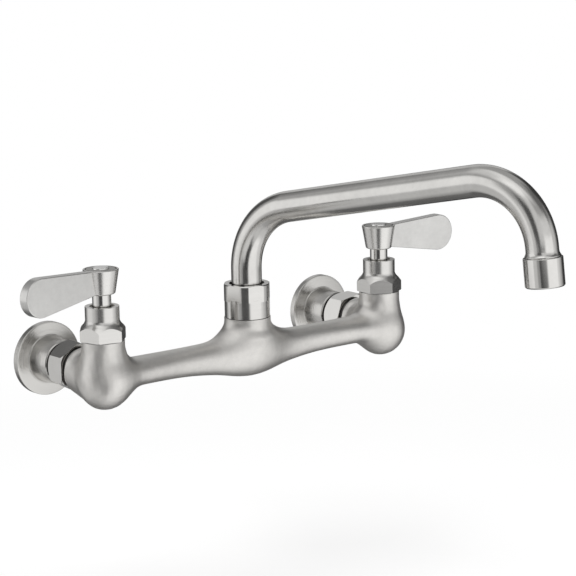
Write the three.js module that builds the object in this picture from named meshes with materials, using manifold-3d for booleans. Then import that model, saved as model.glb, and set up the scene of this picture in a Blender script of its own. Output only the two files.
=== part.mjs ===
// Commercial wall faucet: two lever valves on one casting, a swing spout between them, and two inlets that
// join it to the wall. Millimetres. +Z is up, +X runs to the cold side and the wall is the plane y = 0,
// with the room at negative y. The origin is midway between the two inlets, at the height of their axes.
import * as THREE from 'three';
import { mergeVertices } from 'three/addons/utils/BufferGeometryUtils.js';
import Module from 'manifold-3d';

const wasm = await Module();
wasm.setup();

// ---- fits ----------------------------------------------------------------------------------------------
const GAP = 0.3;                    // between neighbouring pieces, all round

// ---- layout --------------------------------------------------------------------------------------------
const INLET_SPACING = 203.2;        // between the two inlet axes (8 in)
const STANDOFF = 60.75;             // wall to the line of the three upright axes
const SIDES = [
  { name: 'hot', x: -INLET_SPACING / 2, leverAngle: 187.5, hexAngle: 46 },
  { name: 'cold', x: INLET_SPACING / 2, leverAngle: -2, hexAngle: 25.7 },
];

// ---- casting -------------------------------------------------------------------------------------------
const TOWER_TOP = 19.74;            // valve tower: top face above the inlet axis
const TOWER_RADIUS = 12.2;
const TOWER_SPREAD = 0.6;           // below 1 the tower widens mostly near its top
const BULB_CENTRE = -4.4;           // centre height of the round bottom under each valve
const BULB_RADIUS = 13.6;
const COLLAR_RADIUS = 12;           // rear inlet collar at its rear face
const COLLAR_ROOT_RADIUS = 14.5;    // and at the valve axis
const COLLAR_ROOT_DROP = 4.8;       // its centre there below the inlet axis
const COLLAR_LENGTH = 22.25;        // valve axis to the collar's rear face
const COLLAR_RIM = 3;               // turned part of the collar behind its soft root
const BAR_RADIUS = 8.1;             // cross bar at its ends
const BAR_END_DEPTH = 5;            // extra depth of the bar, front and back, beside each valve
const BAR_END_SWELL = 42;           // how far along the bar that reaches
const BAR_CENTRE_RADIUS = 11.4;     // cross bar under the spout
const BAR_SWELL = 33;               // how far along the bar the swelling spreads
const BAR_DROP = 1.3;               // bar axis below the inlet axis at its ends
const BAR_CENTRE_DROP = 3.7;        // and under the spout
const SPOUT_TOWER_TOP = 18.68;
const SPOUT_TOWER_RADIUS = 13.6;
const SPOUT_TOWER_FOOT = 8;         // height where the spout tower melts into the bar
const VALVE_FILLET = 8;             // softness of bar against valve tower
const COLLAR_FILLET = 5;            // softness of collar against valve tower
const SPOUT_FILLET = 20;            // softness of bar against spout tower
const CRISP_EDGE = 0.6;             // turned towers and collars stand proud of the soft casting by this
const TOWER_CORE_FOOT = 4.9;        // where the turned part of each valve tower begins
const SPOUT_CORE_FOOT = 9.3;        // and that of the spout tower

// ---- water ways in the casting -------------------------------------------------------------------------
const CAGE_CLEARANCE = 1;           // cartridge cage to the valve chamber's wall
const SEAT_HEIGHT = 2;              // chamber floor
const SEAT_BORE_RADIUS = 3.8;
const INLET_BORE_RADIUS = 6.3;      // through the threaded nipple
const INLET_BORE_END = 16;          // where it stops short of the valve axis
const FEED_RADIUS = 4.2;            // from the inlet bore to below the seat
const FEED_DROP = 5;
const BAR_BORE_RADIUS = 3.6;
const BAR_BORE_HEIGHT = 1;
const BAR_BORE_OVERLAP = 1.9;       // how far the bar bore cuts into each chamber
const SPOUT_SEAT_HEIGHT = 6;        // bottom of the bore that takes the spout
const SPIGOT_HEIGHT = 7.92;         // threaded spigot that stands on the spout tower
const RISER_RADIUS = 5;             // from the bar bore up to it

// ---- inlets --------------------------------------------------------------------------------------------
const EXPOSED_THREAD = 2;           // thread left showing between collar and nut
const THREAD_PITCH = 1.5;
const THREAD_DEPTH = 0.5;
const COUPLING_FLATS = 25.4;        // coupling nut across flats (1 in)
const COUPLING_LENGTH = 13.8;
const COUPLING_PLAY = 2.4;          // bare union tail between the flange's neck and the nut
const COUPLING_WALL = 1.4;          // flat to the thread inside
const COUPLING_CHAMFER = 1.1;
const COUPLING_BACK_WALL = 1.3;
const FLANGE_RADIUS = 21.4;
const FLANGE_THICKNESS = 4.45;
const FLANGE_DISH = 0.55;           // rise of the front face from rim to neck
const FLANGE_EDGE = 0.6;
const NECK_BASE_RADIUS = 13.5;
const NECK_TIP_RADIUS = 12.6;
const SOCKET_RADIUS = 10.4;         // takes the supply pipe
const SOCKET_DEPTH = 10;
const TAIL_RADIUS = 8.7;            // union tail inside the neck
const TAIL_BORE_RADIUS = 6.3;
const SHOULDER_RELIEF = 0.1;        // shoulder inside the thread's radius
const SHOULDER_THICKNESS = 2;
const INLET_WASHER_THICKNESS = 1.8;

// ---- cartridge -----------------------------------------------------------------------------------------
const DISC_RADIUS = 7.6;
const DISC_THICKNESS = 2.2;
const PORT_RADIUS = 1.9;            // ports in the ceramic discs
const PORT_OFFSET = 4.1;
const SEAL_HEIGHT = 2;
const SEAL_BORE_RADIUS = 4.4;
const CAGE_WALL = 1;
const CAGE_WINDOW_WIDTH = 7;
const CAGE_SILL = 5;                // seat to the lower edge of the cage windows
const STEM_RADIUS = 5.29;
const FOOT_RELIEF = 0.3;            // stem foot inside the discs' radius
const FOOT_THICKNESS = 2.6;
const STEM_GROOVE_DEPTH = 1.3;
const STEM_RING_THICKNESS = 1.1;
const STEM_RING_DEPTH = 7.8;        // below the bonnet's top
const DRIVE_RADIUS = 4.2;           // eight-sided end that carries the handle
const DRIVE_SIDES = 8;
const SCREW_TIP_CLEARANCE = 1.4;    // below the handle screw in the stem

// ---- bonnet --------------------------------------------------------------------------------------------
const BONNET_CORNER_RADIUS = 13.6;  // hexagon over its corners
const BONNET_CHAMFER_RADIUS = 12.3; // where the top chamfer meets the hexagon's top
const HEX_HEIGHT = 7.5;
const HEX_CHAMFER = 1.3;
const BONNET_EDGE = 0.4;
const FLARE_HEIGHT = 3.9;
const BARREL_RADIUS = 9.65;
const BARREL_HEIGHT = 7.85;
const BARREL_RECESS_RADIUS = 7;
const BARREL_RECESS_DEPTH = 2;
const BONNET_GROOVE_DEPTH = 1.3;
const BONNET_RING_HEIGHT = 1.2;

// ---- handle --------------------------------------------------------------------------------------------
const STEM_EXPOSED = 6.93;          // bonnet top to hub bottom
const HUB_HEIGHT = 14.03;
const HUB_BOTTOM_RADIUS = 7.9;
const HUB_TOP_RADIUS = 10.05;
const HUB_ROUNDING = 1;
const HUB_WEB = 1.6;
const BUTTON_RADIUS = 8.6;
const BUTTON_SEAT = 1.3;            // depth of the recess that takes the index button
const BUTTON_BOSS_RADIUS = 4.7;
const BUTTON_PLUG_RADIUS = 4;
const BUTTON_PLUG_LENGTH = 1.7;
const BUTTON_PLUG_CLEARANCE = 0.43; // plug to the screw's head
const BUTTON_BOSS_RISE = 1;
const BUTTON_EDGE = 0.4;
const SCREW_HEAD_RADIUS = 4;
const SCREW_HEAD_HEIGHT = 2.4;
const SCREW_RADIUS = 1.9;
const SCREW_REACH = 6.3;            // into the stem
const SCREW_SLOT = 1;
const SCREW_SLOT_LENGTH = 5.6;
const LEVER_LENGTH = 56;            // valve axis to the tip
const LEVER_THICKNESS = 6.3;
const LEVER_TIP_RADIUS = 10.9;
const LEVER_TIP_DROP = 9.35;        // tip centre below the hub's top
const LEVER_ROOT_TOP = 0.75;        // blade's upper edge below the hub's top, at the axis
const LEVER_ROOT_BOTTOM = 12.7;     // blade's lower edge below the hub's top, at the axis
const LEVER_EDGE = 0.5;

// ---- spout ---------------------------------------------------------------------------------------------
const SPOUT_SWING = 77.2;           // where the spout points, from +X toward the room
const TUBE_RADIUS = 8.93;
const TUBE_WALL = 2;
const COLUMN_BEND_RADIUS = 39.8;
const COLUMN_EXPOSED = 8.6;         // upright stretch above the nut
const ARM_RISE = 10.9;              // degrees above level
const ARM_LENGTH = 129.3;           // straight stretch between the bends
const TIP_BEND_RADIUS = 36.2;
const TIP_LEAN = 5.6;               // degrees outward from straight down
const TIP_LENGTH = 4.8;
const SPIGOT_RADIUS = 7.6;          // lower end of the spout inside the casting
const SPIGOT_BORE_RADIUS = 4.9;
const SPIGOT_CLEARANCE = 2;         // above the bottom of its bore
const RING_GROOVE_DEPTH = 1.5;
const RING_THICKNESS = 1.2;
const FIRST_RING = 6;               // lower sealing ring above the bore's bottom
const RING_SPACING = 5;
const FERRULE_LIP = 0.6;            // how far the nut laps over the collar on the tube
const SPIGOT_THREAD_STEP = 0.1;     // thread over that collar
const FERRULE_HEIGHT = 3;
const BEARING_HEIGHT = 1.5;
const NUT_HEIGHT = 19.52;
const NUT_RADIUS = 13.2;            // lower, round half
const NUT_ROUND_HEIGHT = 9.82;
const NUT_FLATS = 26;               // upper half across flats
const NUT_CORNER_RADIUS = 13.75;
const NUT_MOUTH_CLEARANCE = 1.37;   // round the tube
const NUT_EDGE = 0.5;
const NUT_HEX_ANGLE = 48;

// ---- aerator -------------------------------------------------------------------------------------------
const SHELL_RADIUS = 10.75;
const SHELL_LENGTH = 15.9;
const SHELL_EDGE = 0.5;
const SHELL_LIP = 1.4;
const SHELL_LIP_RADIUS = 7.6;
const OUTLET_THREAD_STEP = 0.33;    // thread below the tube's surface
const FLARE_RISE = 0.97;            // bead on the tube just above the shell
const FLARE_LENGTH = 3;
const AERATOR_WASHER_THICKNESS = 1.6;
const INSERT_HEIGHT = 4.3;
const INSERT_HOLES = 6;
const INSERT_HOLE_RADIUS = 1.7;
const INSERT_HOLE_CIRCLE = 5.2;
const SCREEN_HEIGHT = 1.4;
const SCREEN_CELL = 1.9;
const SCREEN_PITCH = 2.7;
const SCREEN_CELLS = 5;

// ---- smoothness ----------------------------------------------------------------------------------------
const FINE = 24;                    // sides of the larger turned pieces
const COARSE = 16;                  // sides of the smaller ones
const SMALL = 8;                    // sides of screws and small ports
const HEX = 6;
const RING_SECTION_SIDES = 6;
const FLARE_STEPS = 3;
const BLADE_TIP_STEPS = 12;
const TUBE_SIDES = 20;
const TUBE_BORE_SIDES = 12;
const BEND_STEPS = 10;
const BORE_BEND_STEPS = 8;
const CASTING_RAYS = 32;            // points round the casting at each station
const BAR_STEPS = 24;               // stations from the middle to each valve
const END_STEPS = 6;                // and from there to the end
const SKIN_STRIDE = 1;              // first search step toward the casting's skin
const SKIN_HALVINGS = 16;
const WELD = 1e-4;
const REACH_THROUGH = 1;            // cutters run past the faces they open by this

// ---- materials -----------------------------------------------------------------------------------------
const SATIN_STEEL = { color: 0xb4b1ab, roughness: 0.36, metalness: 1 };
const POLISHED_STEEL = { color: 0xcccac6, roughness: 0.14, metalness: 1 };
const LEVER_STEEL = { color: 0xc8c8c7, roughness: 0.3, metalness: 0.9 };
const BRASS = { color: 0xb6954e, roughness: 0.32, metalness: 1 };
const RUBBER = { color: 0x222222, roughness: 0.85, metalness: 0 };
const CERAMIC = { color: 0xe8e4dc, roughness: 0.25, metalness: 0 };
const NYLON = { color: 0xdedbd2, roughness: 0.55, metalness: 0 };
const PLASTIC = { color: 0x8f8e8a, roughness: 0.45, metalness: 0 };

const group = new THREE.Group();
group.name = 'wall_faucet';

// ---- shaping helpers -----------------------------------------------------------------------------------

// Closed solid from a surface: doubled points merged, collapsed faces dropped, turned right side out.
function solid(geometry) {
  const bare = geometry.clone();
  bare.deleteAttribute('normal');
  bare.deleteAttribute('uv');
  const merged = mergeVertices(bare, WELD);
  const points = merged.attributes.position.array;
  const faces = [];
  let volume = 0;
  for (let i = 0; i < merged.index.count; i += 3) {
    const [a, b, c] = [0, 1, 2].map((k) => merged.index.getX(i + k));
    if (a === b || b === c || c === a) {
      continue;
    }
    faces.push([a, b, c]);
    const [p, q, r] = [a, b, c].map((k) => new THREE.Vector3().fromArray(points, 3 * k));
    volume += p.dot(q.cross(r));
  }
  const order = volume < 0 ? [0, 2, 1] : [0, 1, 2];
  const triVerts = new Uint32Array(faces.flatMap((face) => order.map((k) => face[k])));
  const vertProperties = new Float32Array(points);
  return new wasm.Manifold(new wasm.Mesh({ numProp: 3, vertProperties, triVerts }));
}

const join = (first, ...rest) => rest.reduce((sum, next) => sum.add(next), first);
const cut = (body, ...tools) => tools.reduce((sum, next) => sum.subtract(next), body);

// Surface turned about the Z axis from [radius, height] corners; a profile off the axis closes on itself.
function turned(profile, sides = FINE) {
  const points = profile.map(([radius, height]) => new THREE.Vector2(radius, height));
  const onAxis = profile[0][0] === 0 && profile[profile.length - 1][0] === 0;
  if (!onAxis) {
    points.push(points[0].clone());
  }
  return new THREE.LatheGeometry(points, sides).rotateX(Math.PI / 2);
}

// Full round bar from one height to another.
function rod(radius, from, to, sides = FINE) {
  return turned([[0, from], [radius, from], [radius, to], [0, to]], sides);
}

// Tube or ring from one height to another.
function sleeve(inner, outer, from, to, sides = FINE) {
  return turned([[inner, from], [outer, from], [outer, to], [inner, to]], sides);
}

// Ring of round section, its section given by inner and outer radius.
function sealingRing(inner, outer, height, sides = COARSE) {
  const tube = (outer - inner) / 2;
  const section = [];
  for (let i = 0; i < RING_SECTION_SIDES; i += 1) {
    const angle = (2 * Math.PI * i) / RING_SECTION_SIDES;
    section.push([inner + tube + tube * Math.cos(angle), height + tube * Math.sin(angle)]);
  }
  return turned(section, sides);
}

// Upright prism with the given distance across its flats; one corner points along the angle in degrees.
function prism(flats, corners, from, to, angle) {
  const radius = flats / 2 / Math.cos(Math.PI / corners);
  const geometry = rod(radius, from, to, corners);
  const firstCorner = 90;
  return geometry.rotateZ(THREE.MathUtils.degToRad(angle - firstCorner));
}

const box = (width, depth, height, x, y, z) => new THREE.BoxGeometry(width, depth, height).translate(x, y, z);

// Lays a piece turned about Z along the inlet axis: its height becomes the distance from the wall.
const alongInlet = (geometry) => geometry.rotateX(Math.PI / 2);

function addNode(name, body, material, place = (geometry) => geometry) {
  const mesh = body.getMesh();
  const geometry = new THREE.BufferGeometry();
  geometry.setAttribute('position', new THREE.BufferAttribute(new Float32Array(mesh.vertProperties), 3));
  geometry.setIndex(new THREE.BufferAttribute(new Uint32Array(mesh.triVerts), 1));
  const placed = place(geometry).toNonIndexed();
  placed.computeVertexNormals();
  const node = new THREE.Mesh(placed, new THREE.MeshStandardMaterial(material));
  node.name = name;
  group.add(node);
}

// ---- casting -------------------------------------------------------------------------------------------

// Soft union of two distances: the nearer one, rounded over the given width where they meet.
function soften(a, b, width) {
  const share = Math.max(width - Math.abs(a - b), 0) / width;
  return Math.min(a, b) - (share * share * width) / 4;
}

// Distance from the skin of the rough casting, negative inside. y counts from the valve axes toward the wall.
function castingDistance(x, y, z) {
  const swell = Math.exp(-((x / BAR_SWELL) ** 2));
  const barRadius = BAR_RADIUS + (BAR_CENTRE_RADIUS - BAR_RADIUS) * swell;
  const barDrop = BAR_DROP + (BAR_CENTRE_DROP - BAR_DROP) * swell;
  const beyond = Math.max(Math.abs(x) - INLET_SPACING / 2, 0);
  const across = Math.abs(x) - INLET_SPACING / 2;
  const depth = BAR_END_DEPTH * Math.exp(-((across / BAR_END_SWELL) ** 2));
  const bar = Math.hypot(beyond, (y * barRadius) / (barRadius + depth), z + barDrop) - barRadius;

  const descent = Math.min(Math.max((TOWER_TOP - z) / (TOWER_TOP - BULB_CENTRE), 0), 1);
  const topRadius = TOWER_RADIUS - CRISP_EDGE;
  const towerRadius = topRadius + (BULB_RADIUS - topRadius) * descent ** TOWER_SPREAD;
  const towerSide = Math.hypot(across, y, Math.min(z - BULB_CENTRE, 0)) - towerRadius;
  const tower = Math.max(towerSide, z - (TOWER_TOP - CRISP_EDGE));

  const toRoot = 1 - Math.min(Math.max(y / COLLAR_LENGTH, 0), 1);
  const rimRadius = COLLAR_RADIUS - CRISP_EDGE;
  const collarRadius = rimRadius + (COLLAR_ROOT_RADIUS - rimRadius) * toRoot;
  const collarSide = Math.hypot(across, Math.min(y, 0), z + COLLAR_ROOT_DROP * toRoot) - collarRadius;
  const collar = Math.max(collarSide, y - (COLLAR_LENGTH - CRISP_EDGE));

  const footRadius = SPOUT_TOWER_RADIUS - 2 * CRISP_EDGE;
  const overFoot = z - Math.min(Math.max(z, SPOUT_TOWER_FOOT), SPOUT_TOWER_TOP - footRadius);
  const spoutTower = Math.hypot(x, y, overFoot) - footRadius;

  const valve = soften(tower, collar, COLLAR_FILLET);
  return soften(soften(bar, valve, VALVE_FILLET), spoutTower, SPOUT_FILLET);
}

// Distance from the bar's axis to the skin along one direction.
function skinAlong(x, dx, dy, dz) {
  const inside = (reach) => castingDistance(x + dx * reach, dy * reach, dz * reach) < 0;
  let far = SKIN_STRIDE;
  while (inside(far)) {
    far += SKIN_STRIDE;
  }
  let near = far - SKIN_STRIDE;
  for (let i = 0; i < SKIN_HALVINGS; i += 1) {
    const middle = (near + far) / 2;
    if (inside(middle)) {
      near = middle;
    } else {
      far = middle;
    }
  }
  return near;
}

// The rough casting: rings of points around the bar's axis, closed by one point at each end.
function roughCasting() {
  const valveX = INLET_SPACING / 2;
  const end = valveX + skinAlong(valveX, 1, 0, 0);
  const half = [];
  for (let i = 0; i <= BAR_STEPS; i += 1) {
    half.push((valveX * i) / BAR_STEPS);
  }
  for (let i = 1; i < END_STEPS; i += 1) {
    half.push(valveX + (end - valveX) * Math.sin((Math.PI / 2) * (i / END_STEPS)));
  }
  const stations = [...half.slice(1).reverse().map((x) => -x), ...half];
  const points = [-end, 0, 0];
  for (const x of stations) {
    for (let k = 0; k < CASTING_RAYS; k += 1) {
      const angle = (2 * Math.PI * k) / CASTING_RAYS;
      const [dy, dz] = [Math.cos(angle), Math.sin(angle)];
      const reach = skinAlong(x, 0, dy, dz);
      points.push(x, dy * reach, dz * reach);
    }
  }
  points.push(end, 0, 0);
  const faces = [];
  const lastRing = 1 + (stations.length - 1) * CASTING_RAYS;
  const lastPoint = lastRing + CASTING_RAYS;
  for (let k = 0; k < CASTING_RAYS; k += 1) {
    const next = (k + 1) % CASTING_RAYS;
    faces.push(0, 1 + next, 1 + k);
    faces.push(lastPoint, lastRing + k, lastRing + next);
    for (let ring = 1; ring < lastRing; ring += CASTING_RAYS) {
      faces.push(ring + k, ring + next, ring + CASTING_RAYS + next);
      faces.push(ring + k, ring + CASTING_RAYS + next, ring + CASTING_RAYS + k);
    }
  }
  const geometry = new THREE.BufferGeometry();
  geometry.setAttribute('position', new THREE.BufferAttribute(new Float32Array(points), 3));
  geometry.setIndex(faces);
  return solid(geometry);
}

// Radii that follow from a neighbour's.
const nippleRadius = COUPLING_FLATS / 2 - COUPLING_WALL - GAP;
const shoulderRadius = nippleRadius - SHOULDER_RELIEF;
const chamberRadius = DISC_RADIUS + GAP + CAGE_WALL + CAGE_CLEARANCE;
const nutMouthRadius = TUBE_RADIUS + NUT_MOUTH_CLEARANCE;
const ferruleRadius = nutMouthRadius + FERRULE_LIP;
const spigotThreadRadius = ferruleRadius + SPIGOT_THREAD_STEP;
const outletThreadRadius = TUBE_RADIUS - OUTLET_THREAD_STEP;
const spigotTop = SPOUT_TOWER_TOP + SPIGOT_HEIGHT;

// Distances from the wall along each inlet, each following from the one before.
const collarBack = STANDOFF - COLLAR_LENGTH;
const couplingFront = collarBack - EXPOSED_THREAD;
const couplingBack = couplingFront - COUPLING_LENGTH;
const neckEnd = couplingBack - COUPLING_PLAY;
const shoulderBack = couplingBack + COUPLING_BACK_WALL + GAP;
const shoulderFront = shoulderBack + SHOULDER_THICKNESS;
const inletWasherBack = shoulderFront + GAP;
const inletWasherFront = inletWasherBack + INLET_WASHER_THICKNESS;
const nippleBack = inletWasherFront + GAP;

// Threaded nipple, its crests showing where the coupling nut leaves it bare.
function nipple() {
  const profile = [
    [0, nippleBack],
    [nippleRadius - THREAD_DEPTH, nippleBack],
    [nippleRadius, nippleBack + THREAD_DEPTH],
  ];
  for (let at = couplingFront; at < collarBack; at += THREAD_PITCH) {
    profile.push([nippleRadius, at]);
    profile.push([nippleRadius - THREAD_DEPTH, at + THREAD_PITCH / 2]);
  }
  const root = STANDOFF - INLET_BORE_END;
  profile.push([nippleRadius, collarBack + REACH_THROUGH]);
  profile.push([nippleRadius, root]);
  profile.push([0, root]);
  return turned(profile);
}

function casting() {
  const crispTower = (radius, from, top) => turned([
    [0, from],
    [radius, from],
    [radius, top - CRISP_EDGE],
    [radius - CRISP_EDGE, top],
    [0, top],
  ]);
  let body = roughCasting();
  body = join(body, solid(crispTower(SPOUT_TOWER_RADIUS, SPOUT_CORE_FOOT, SPOUT_TOWER_TOP)));
  body = join(body, solid(crispTower(spigotThreadRadius, SPOUT_CORE_FOOT, spigotTop)));
  const bores = [
    solid(rod(SPIGOT_RADIUS + GAP, SPOUT_SEAT_HEIGHT, spigotTop + REACH_THROUGH)),
    solid(rod(RISER_RADIUS, BAR_BORE_HEIGHT, SPOUT_SEAT_HEIGHT + REACH_THROUGH, COARSE)),
  ];
  const barBoreHalf = INLET_SPACING / 2 - chamberRadius + BAR_BORE_OVERLAP;
  const barBore = rod(BAR_BORE_RADIUS, -barBoreHalf, barBoreHalf, COARSE).rotateY(Math.PI / 2);
  bores.push(solid(barBore.translate(0, 0, BAR_BORE_HEIGHT)));
  for (const { x } of SIDES) {
    const crisp = crispTower(TOWER_RADIUS, TOWER_CORE_FOOT, TOWER_TOP);
    const ring = turned([
      [0, collarBack],
      [COLLAR_RADIUS - CRISP_EDGE, collarBack],
      [COLLAR_RADIUS, collarBack + CRISP_EDGE],
      [COLLAR_RADIUS, collarBack + COLLAR_RIM],
      [0, collarBack + COLLAR_RIM],
    ]);
    body = join(
      body,
      solid(crisp.translate(x, 0, 0)),
      solid(alongInlet(ring).translate(x, STANDOFF, 0)),
      solid(alongInlet(nipple()).translate(x, STANDOFF, 0)),
    );
    const boreEnd = STANDOFF - INLET_BORE_END;
    const inletBore = rod(INLET_BORE_RADIUS, nippleBack - REACH_THROUGH, boreEnd, COARSE);
    const feed = rod(FEED_RADIUS, boreEnd - REACH_THROUGH, STANDOFF + SEAT_BORE_RADIUS, COARSE);
    bores.push(
      solid(rod(chamberRadius, SEAT_HEIGHT, TOWER_TOP + REACH_THROUGH).translate(x, 0, 0)),
      solid(rod(SEAT_BORE_RADIUS, -FEED_DROP, SEAT_HEIGHT + REACH_THROUGH, COARSE).translate(x, 0, 0)),
      solid(alongInlet(inletBore).translate(x, STANDOFF, 0)),
      solid(alongInlet(feed).translate(x, STANDOFF, -FEED_DROP)),
    );
  }
  return cut(body, ...bores);
}

addNode('valve_body', casting(), SATIN_STEEL, (geometry) => geometry.translate(0, -STANDOFF, 0));

// ---- inlets --------------------------------------------------------------------------------------------

function inletFlange() {
  const bore = TAIL_RADIUS + GAP;
  const neckBase = FLANGE_THICKNESS + FLANGE_DISH;
  return solid(alongInlet(turned([
    [SOCKET_RADIUS, 0],
    [FLANGE_RADIUS, 0],
    [FLANGE_RADIUS, FLANGE_THICKNESS - FLANGE_EDGE],
    [FLANGE_RADIUS - FLANGE_EDGE, FLANGE_THICKNESS],
    [NECK_BASE_RADIUS, neckBase],
    [NECK_TIP_RADIUS, neckEnd - FLANGE_EDGE],
    [NECK_TIP_RADIUS - FLANGE_EDGE, neckEnd],
    [bore, neckEnd],
    [bore, SOCKET_DEPTH],
    [SOCKET_RADIUS, SOCKET_DEPTH],
  ])));
}

function unionTail() {
  return solid(alongInlet(turned([
    [TAIL_BORE_RADIUS, SOCKET_DEPTH + GAP],
    [TAIL_RADIUS, SOCKET_DEPTH + GAP],
    [TAIL_RADIUS, shoulderBack],
    [shoulderRadius, shoulderBack],
    [shoulderRadius, shoulderFront],
    [TAIL_BORE_RADIUS, shoulderFront],
  ], COARSE)));
}

function couplingNut() {
  const corner = COUPLING_FLATS / Math.sqrt(3);
  const cornerUp = 90;
  const blank = prism(COUPLING_FLATS, HEX, couplingBack, couplingFront, cornerUp);
  const round = turned([
    [0, couplingBack],
    [COUPLING_FLATS / 2, couplingBack],
    [corner, couplingBack + COUPLING_CHAMFER / 2],
    [corner, couplingFront - COUPLING_CHAMFER],
    [COUPLING_FLATS / 2 - COUPLING_CHAMFER / 4, couplingFront],
    [0, couplingFront],
  ]);
  const hollow = rod(nippleRadius + GAP, couplingBack + COUPLING_BACK_WALL, couplingFront + REACH_THROUGH);
  const mouth = rod(TAIL_RADIUS + GAP, couplingBack - REACH_THROUGH, shoulderBack);
  return cut(
    solid(alongInlet(blank)).intersect(solid(alongInlet(round))),
    solid(alongInlet(hollow)),
    solid(alongInlet(mouth)),
  );
}

// ---- cartridge -----------------------------------------------------------------------------------------

// Heights inside the valve, from the seat up.
const sealBottom = SEAT_HEIGHT + GAP;
const fixedDiscBottom = sealBottom + SEAL_HEIGHT + GAP;
const movingDiscBottom = fixedDiscBottom + DISC_THICKNESS + GAP;
const footBottom = movingDiscBottom + DISC_THICKNESS + GAP;
const footTop = footBottom + FOOT_THICKNESS;
const bonnetBottom = footTop + GAP;
const hexBottom = TOWER_TOP + GAP;
const hexTop = hexBottom + HEX_HEIGHT;
const bonnetTop = hexTop + FLARE_HEIGHT + BARREL_HEIGHT;
const hubBottom = bonnetTop + STEM_EXPOSED;
const hubTop = hubBottom + HUB_HEIGHT;
const stemRingHeight = bonnetTop - STEM_RING_DEPTH;

// Heights inside the handle, from its top down.
const buttonUnderside = hubTop - BUTTON_SEAT + GAP;
const buttonPlugBottom = buttonUnderside - BUTTON_PLUG_LENGTH;
const screwTop = buttonPlugBottom - BUTTON_PLUG_CLEARANCE;
const screwHeadBottom = screwTop - SCREW_HEAD_HEIGHT;
const screwSeat = screwHeadBottom - GAP;
const driveTop = screwSeat - HUB_WEB - GAP;
const screwTip = driveTop - SCREW_REACH;

// Ceramic disc with two opposite ports; the angle says where they stand.
function disc(bottom, angle) {
  const ports = [0, 180].map((turn) => {
    const direction = THREE.MathUtils.degToRad(angle + turn);
    const port = rod(PORT_RADIUS, bottom - REACH_THROUGH, bottom + DISC_THICKNESS + REACH_THROUGH, SMALL);
    return solid(port.translate(PORT_OFFSET * Math.cos(direction), PORT_OFFSET * Math.sin(direction), 0));
  });
  return cut(solid(rod(DISC_RADIUS, bottom, bottom + DISC_THICKNESS, COARSE)), ...ports);
}

// Sleeve round the discs, with two windows that let the water out.
function cage() {
  const inner = DISC_RADIUS + GAP;
  const sill = sealBottom + CAGE_SILL;
  const head = footTop - CAGE_WALL;
  const windows = box(CAGE_WINDOW_WIDTH, 3 * inner, head - sill, 0, 0, (head + sill) / 2);
  return cut(solid(sleeve(inner, inner + CAGE_WALL, sealBottom, footTop, COARSE)), solid(windows));
}

function stem() {
  const groove = STEM_RING_THICKNESS / 2 + GAP;
  const footRadius = DISC_RADIUS - FOOT_RELIEF;
  const body = solid(turned([
    [0, footBottom],
    [footRadius, footBottom],
    [footRadius, footTop],
    [STEM_RADIUS, footTop],
    [STEM_RADIUS, stemRingHeight - groove],
    [STEM_RADIUS - STEM_GROOVE_DEPTH, stemRingHeight - groove],
    [STEM_RADIUS - STEM_GROOVE_DEPTH, stemRingHeight + groove],
    [STEM_RADIUS, stemRingHeight + groove],
    [STEM_RADIUS, hubBottom - GAP],
    [0, hubBottom - GAP],
  ]));
  const drive = rod(DRIVE_RADIUS, hubBottom - GAP - REACH_THROUGH, driveTop, DRIVE_SIDES);
  const bore = rod(SCREW_RADIUS + GAP, screwTip - SCREW_TIP_CLEARANCE, driveTop + REACH_THROUGH, SMALL);
  return cut(join(body, solid(drive)), solid(bore));
}

// ---- bonnet --------------------------------------------------------------------------------------------

function bonnet(hexAngle) {
  const flats = 2 * BONNET_CORNER_RADIUS * Math.cos(Math.PI / HEX);
  const barrelBottom = hexTop + FLARE_HEIGHT;
  const flare = [];
  for (let i = 0; i <= FLARE_STEPS; i += 1) {
    const angle = ((Math.PI / 2) * i) / FLARE_STEPS;
    flare.push([
      BONNET_CHAMFER_RADIUS - (BONNET_CHAMFER_RADIUS - BARREL_RADIUS) * Math.sin(angle),
      barrelBottom - FLARE_HEIGHT * Math.cos(angle),
    ]);
  }
  const round = solid(turned([
    [0, hexBottom],
    [BONNET_CORNER_RADIUS - BONNET_EDGE, hexBottom],
    [BONNET_CORNER_RADIUS, hexBottom + BONNET_EDGE],
    [BONNET_CORNER_RADIUS, hexTop - HEX_CHAMFER],
    ...flare,
    [BARREL_RADIUS, bonnetTop - BONNET_EDGE],
    [BARREL_RADIUS - BONNET_EDGE, bonnetTop],
    [0, bonnetTop],
  ]));
  const hexagon = solid(prism(flats, HEX, hexBottom, bonnetTop, hexAngle));
  const plug = chamberRadius - GAP;
  const grooveTop = TOWER_TOP - GAP;
  const grooveBottom = grooveTop - BONNET_RING_HEIGHT - 2 * GAP;
  const thread = solid(turned([
    [0, bonnetBottom],
    [plug, bonnetBottom],
    [plug, grooveBottom],
    [plug - BONNET_GROOVE_DEPTH, grooveBottom],
    [plug - BONNET_GROOVE_DEPTH, grooveTop],
    [plug, grooveTop],
    [plug, hexBottom + REACH_THROUGH],
    [0, hexBottom + REACH_THROUGH],
  ]));
  const stemBore = rod(STEM_RADIUS + GAP, bonnetBottom - REACH_THROUGH, bonnetTop + REACH_THROUGH, COARSE);
  const recessBottom = bonnetTop - BARREL_RECESS_DEPTH;
  const recess = rod(BARREL_RECESS_RADIUS, recessBottom, bonnetTop + REACH_THROUGH, COARSE);
  return cut(join(round.intersect(hexagon), thread), solid(stemBore), solid(recess));
}

function bonnetRing() {
  const outer = chamberRadius - GAP;
  const top = TOWER_TOP - 2 * GAP;
  return solid(sleeve(outer - BONNET_GROOVE_DEPTH + GAP, outer, top - BONNET_RING_HEIGHT, top, COARSE));
}

// ---- handle --------------------------------------------------------------------------------------------

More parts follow.
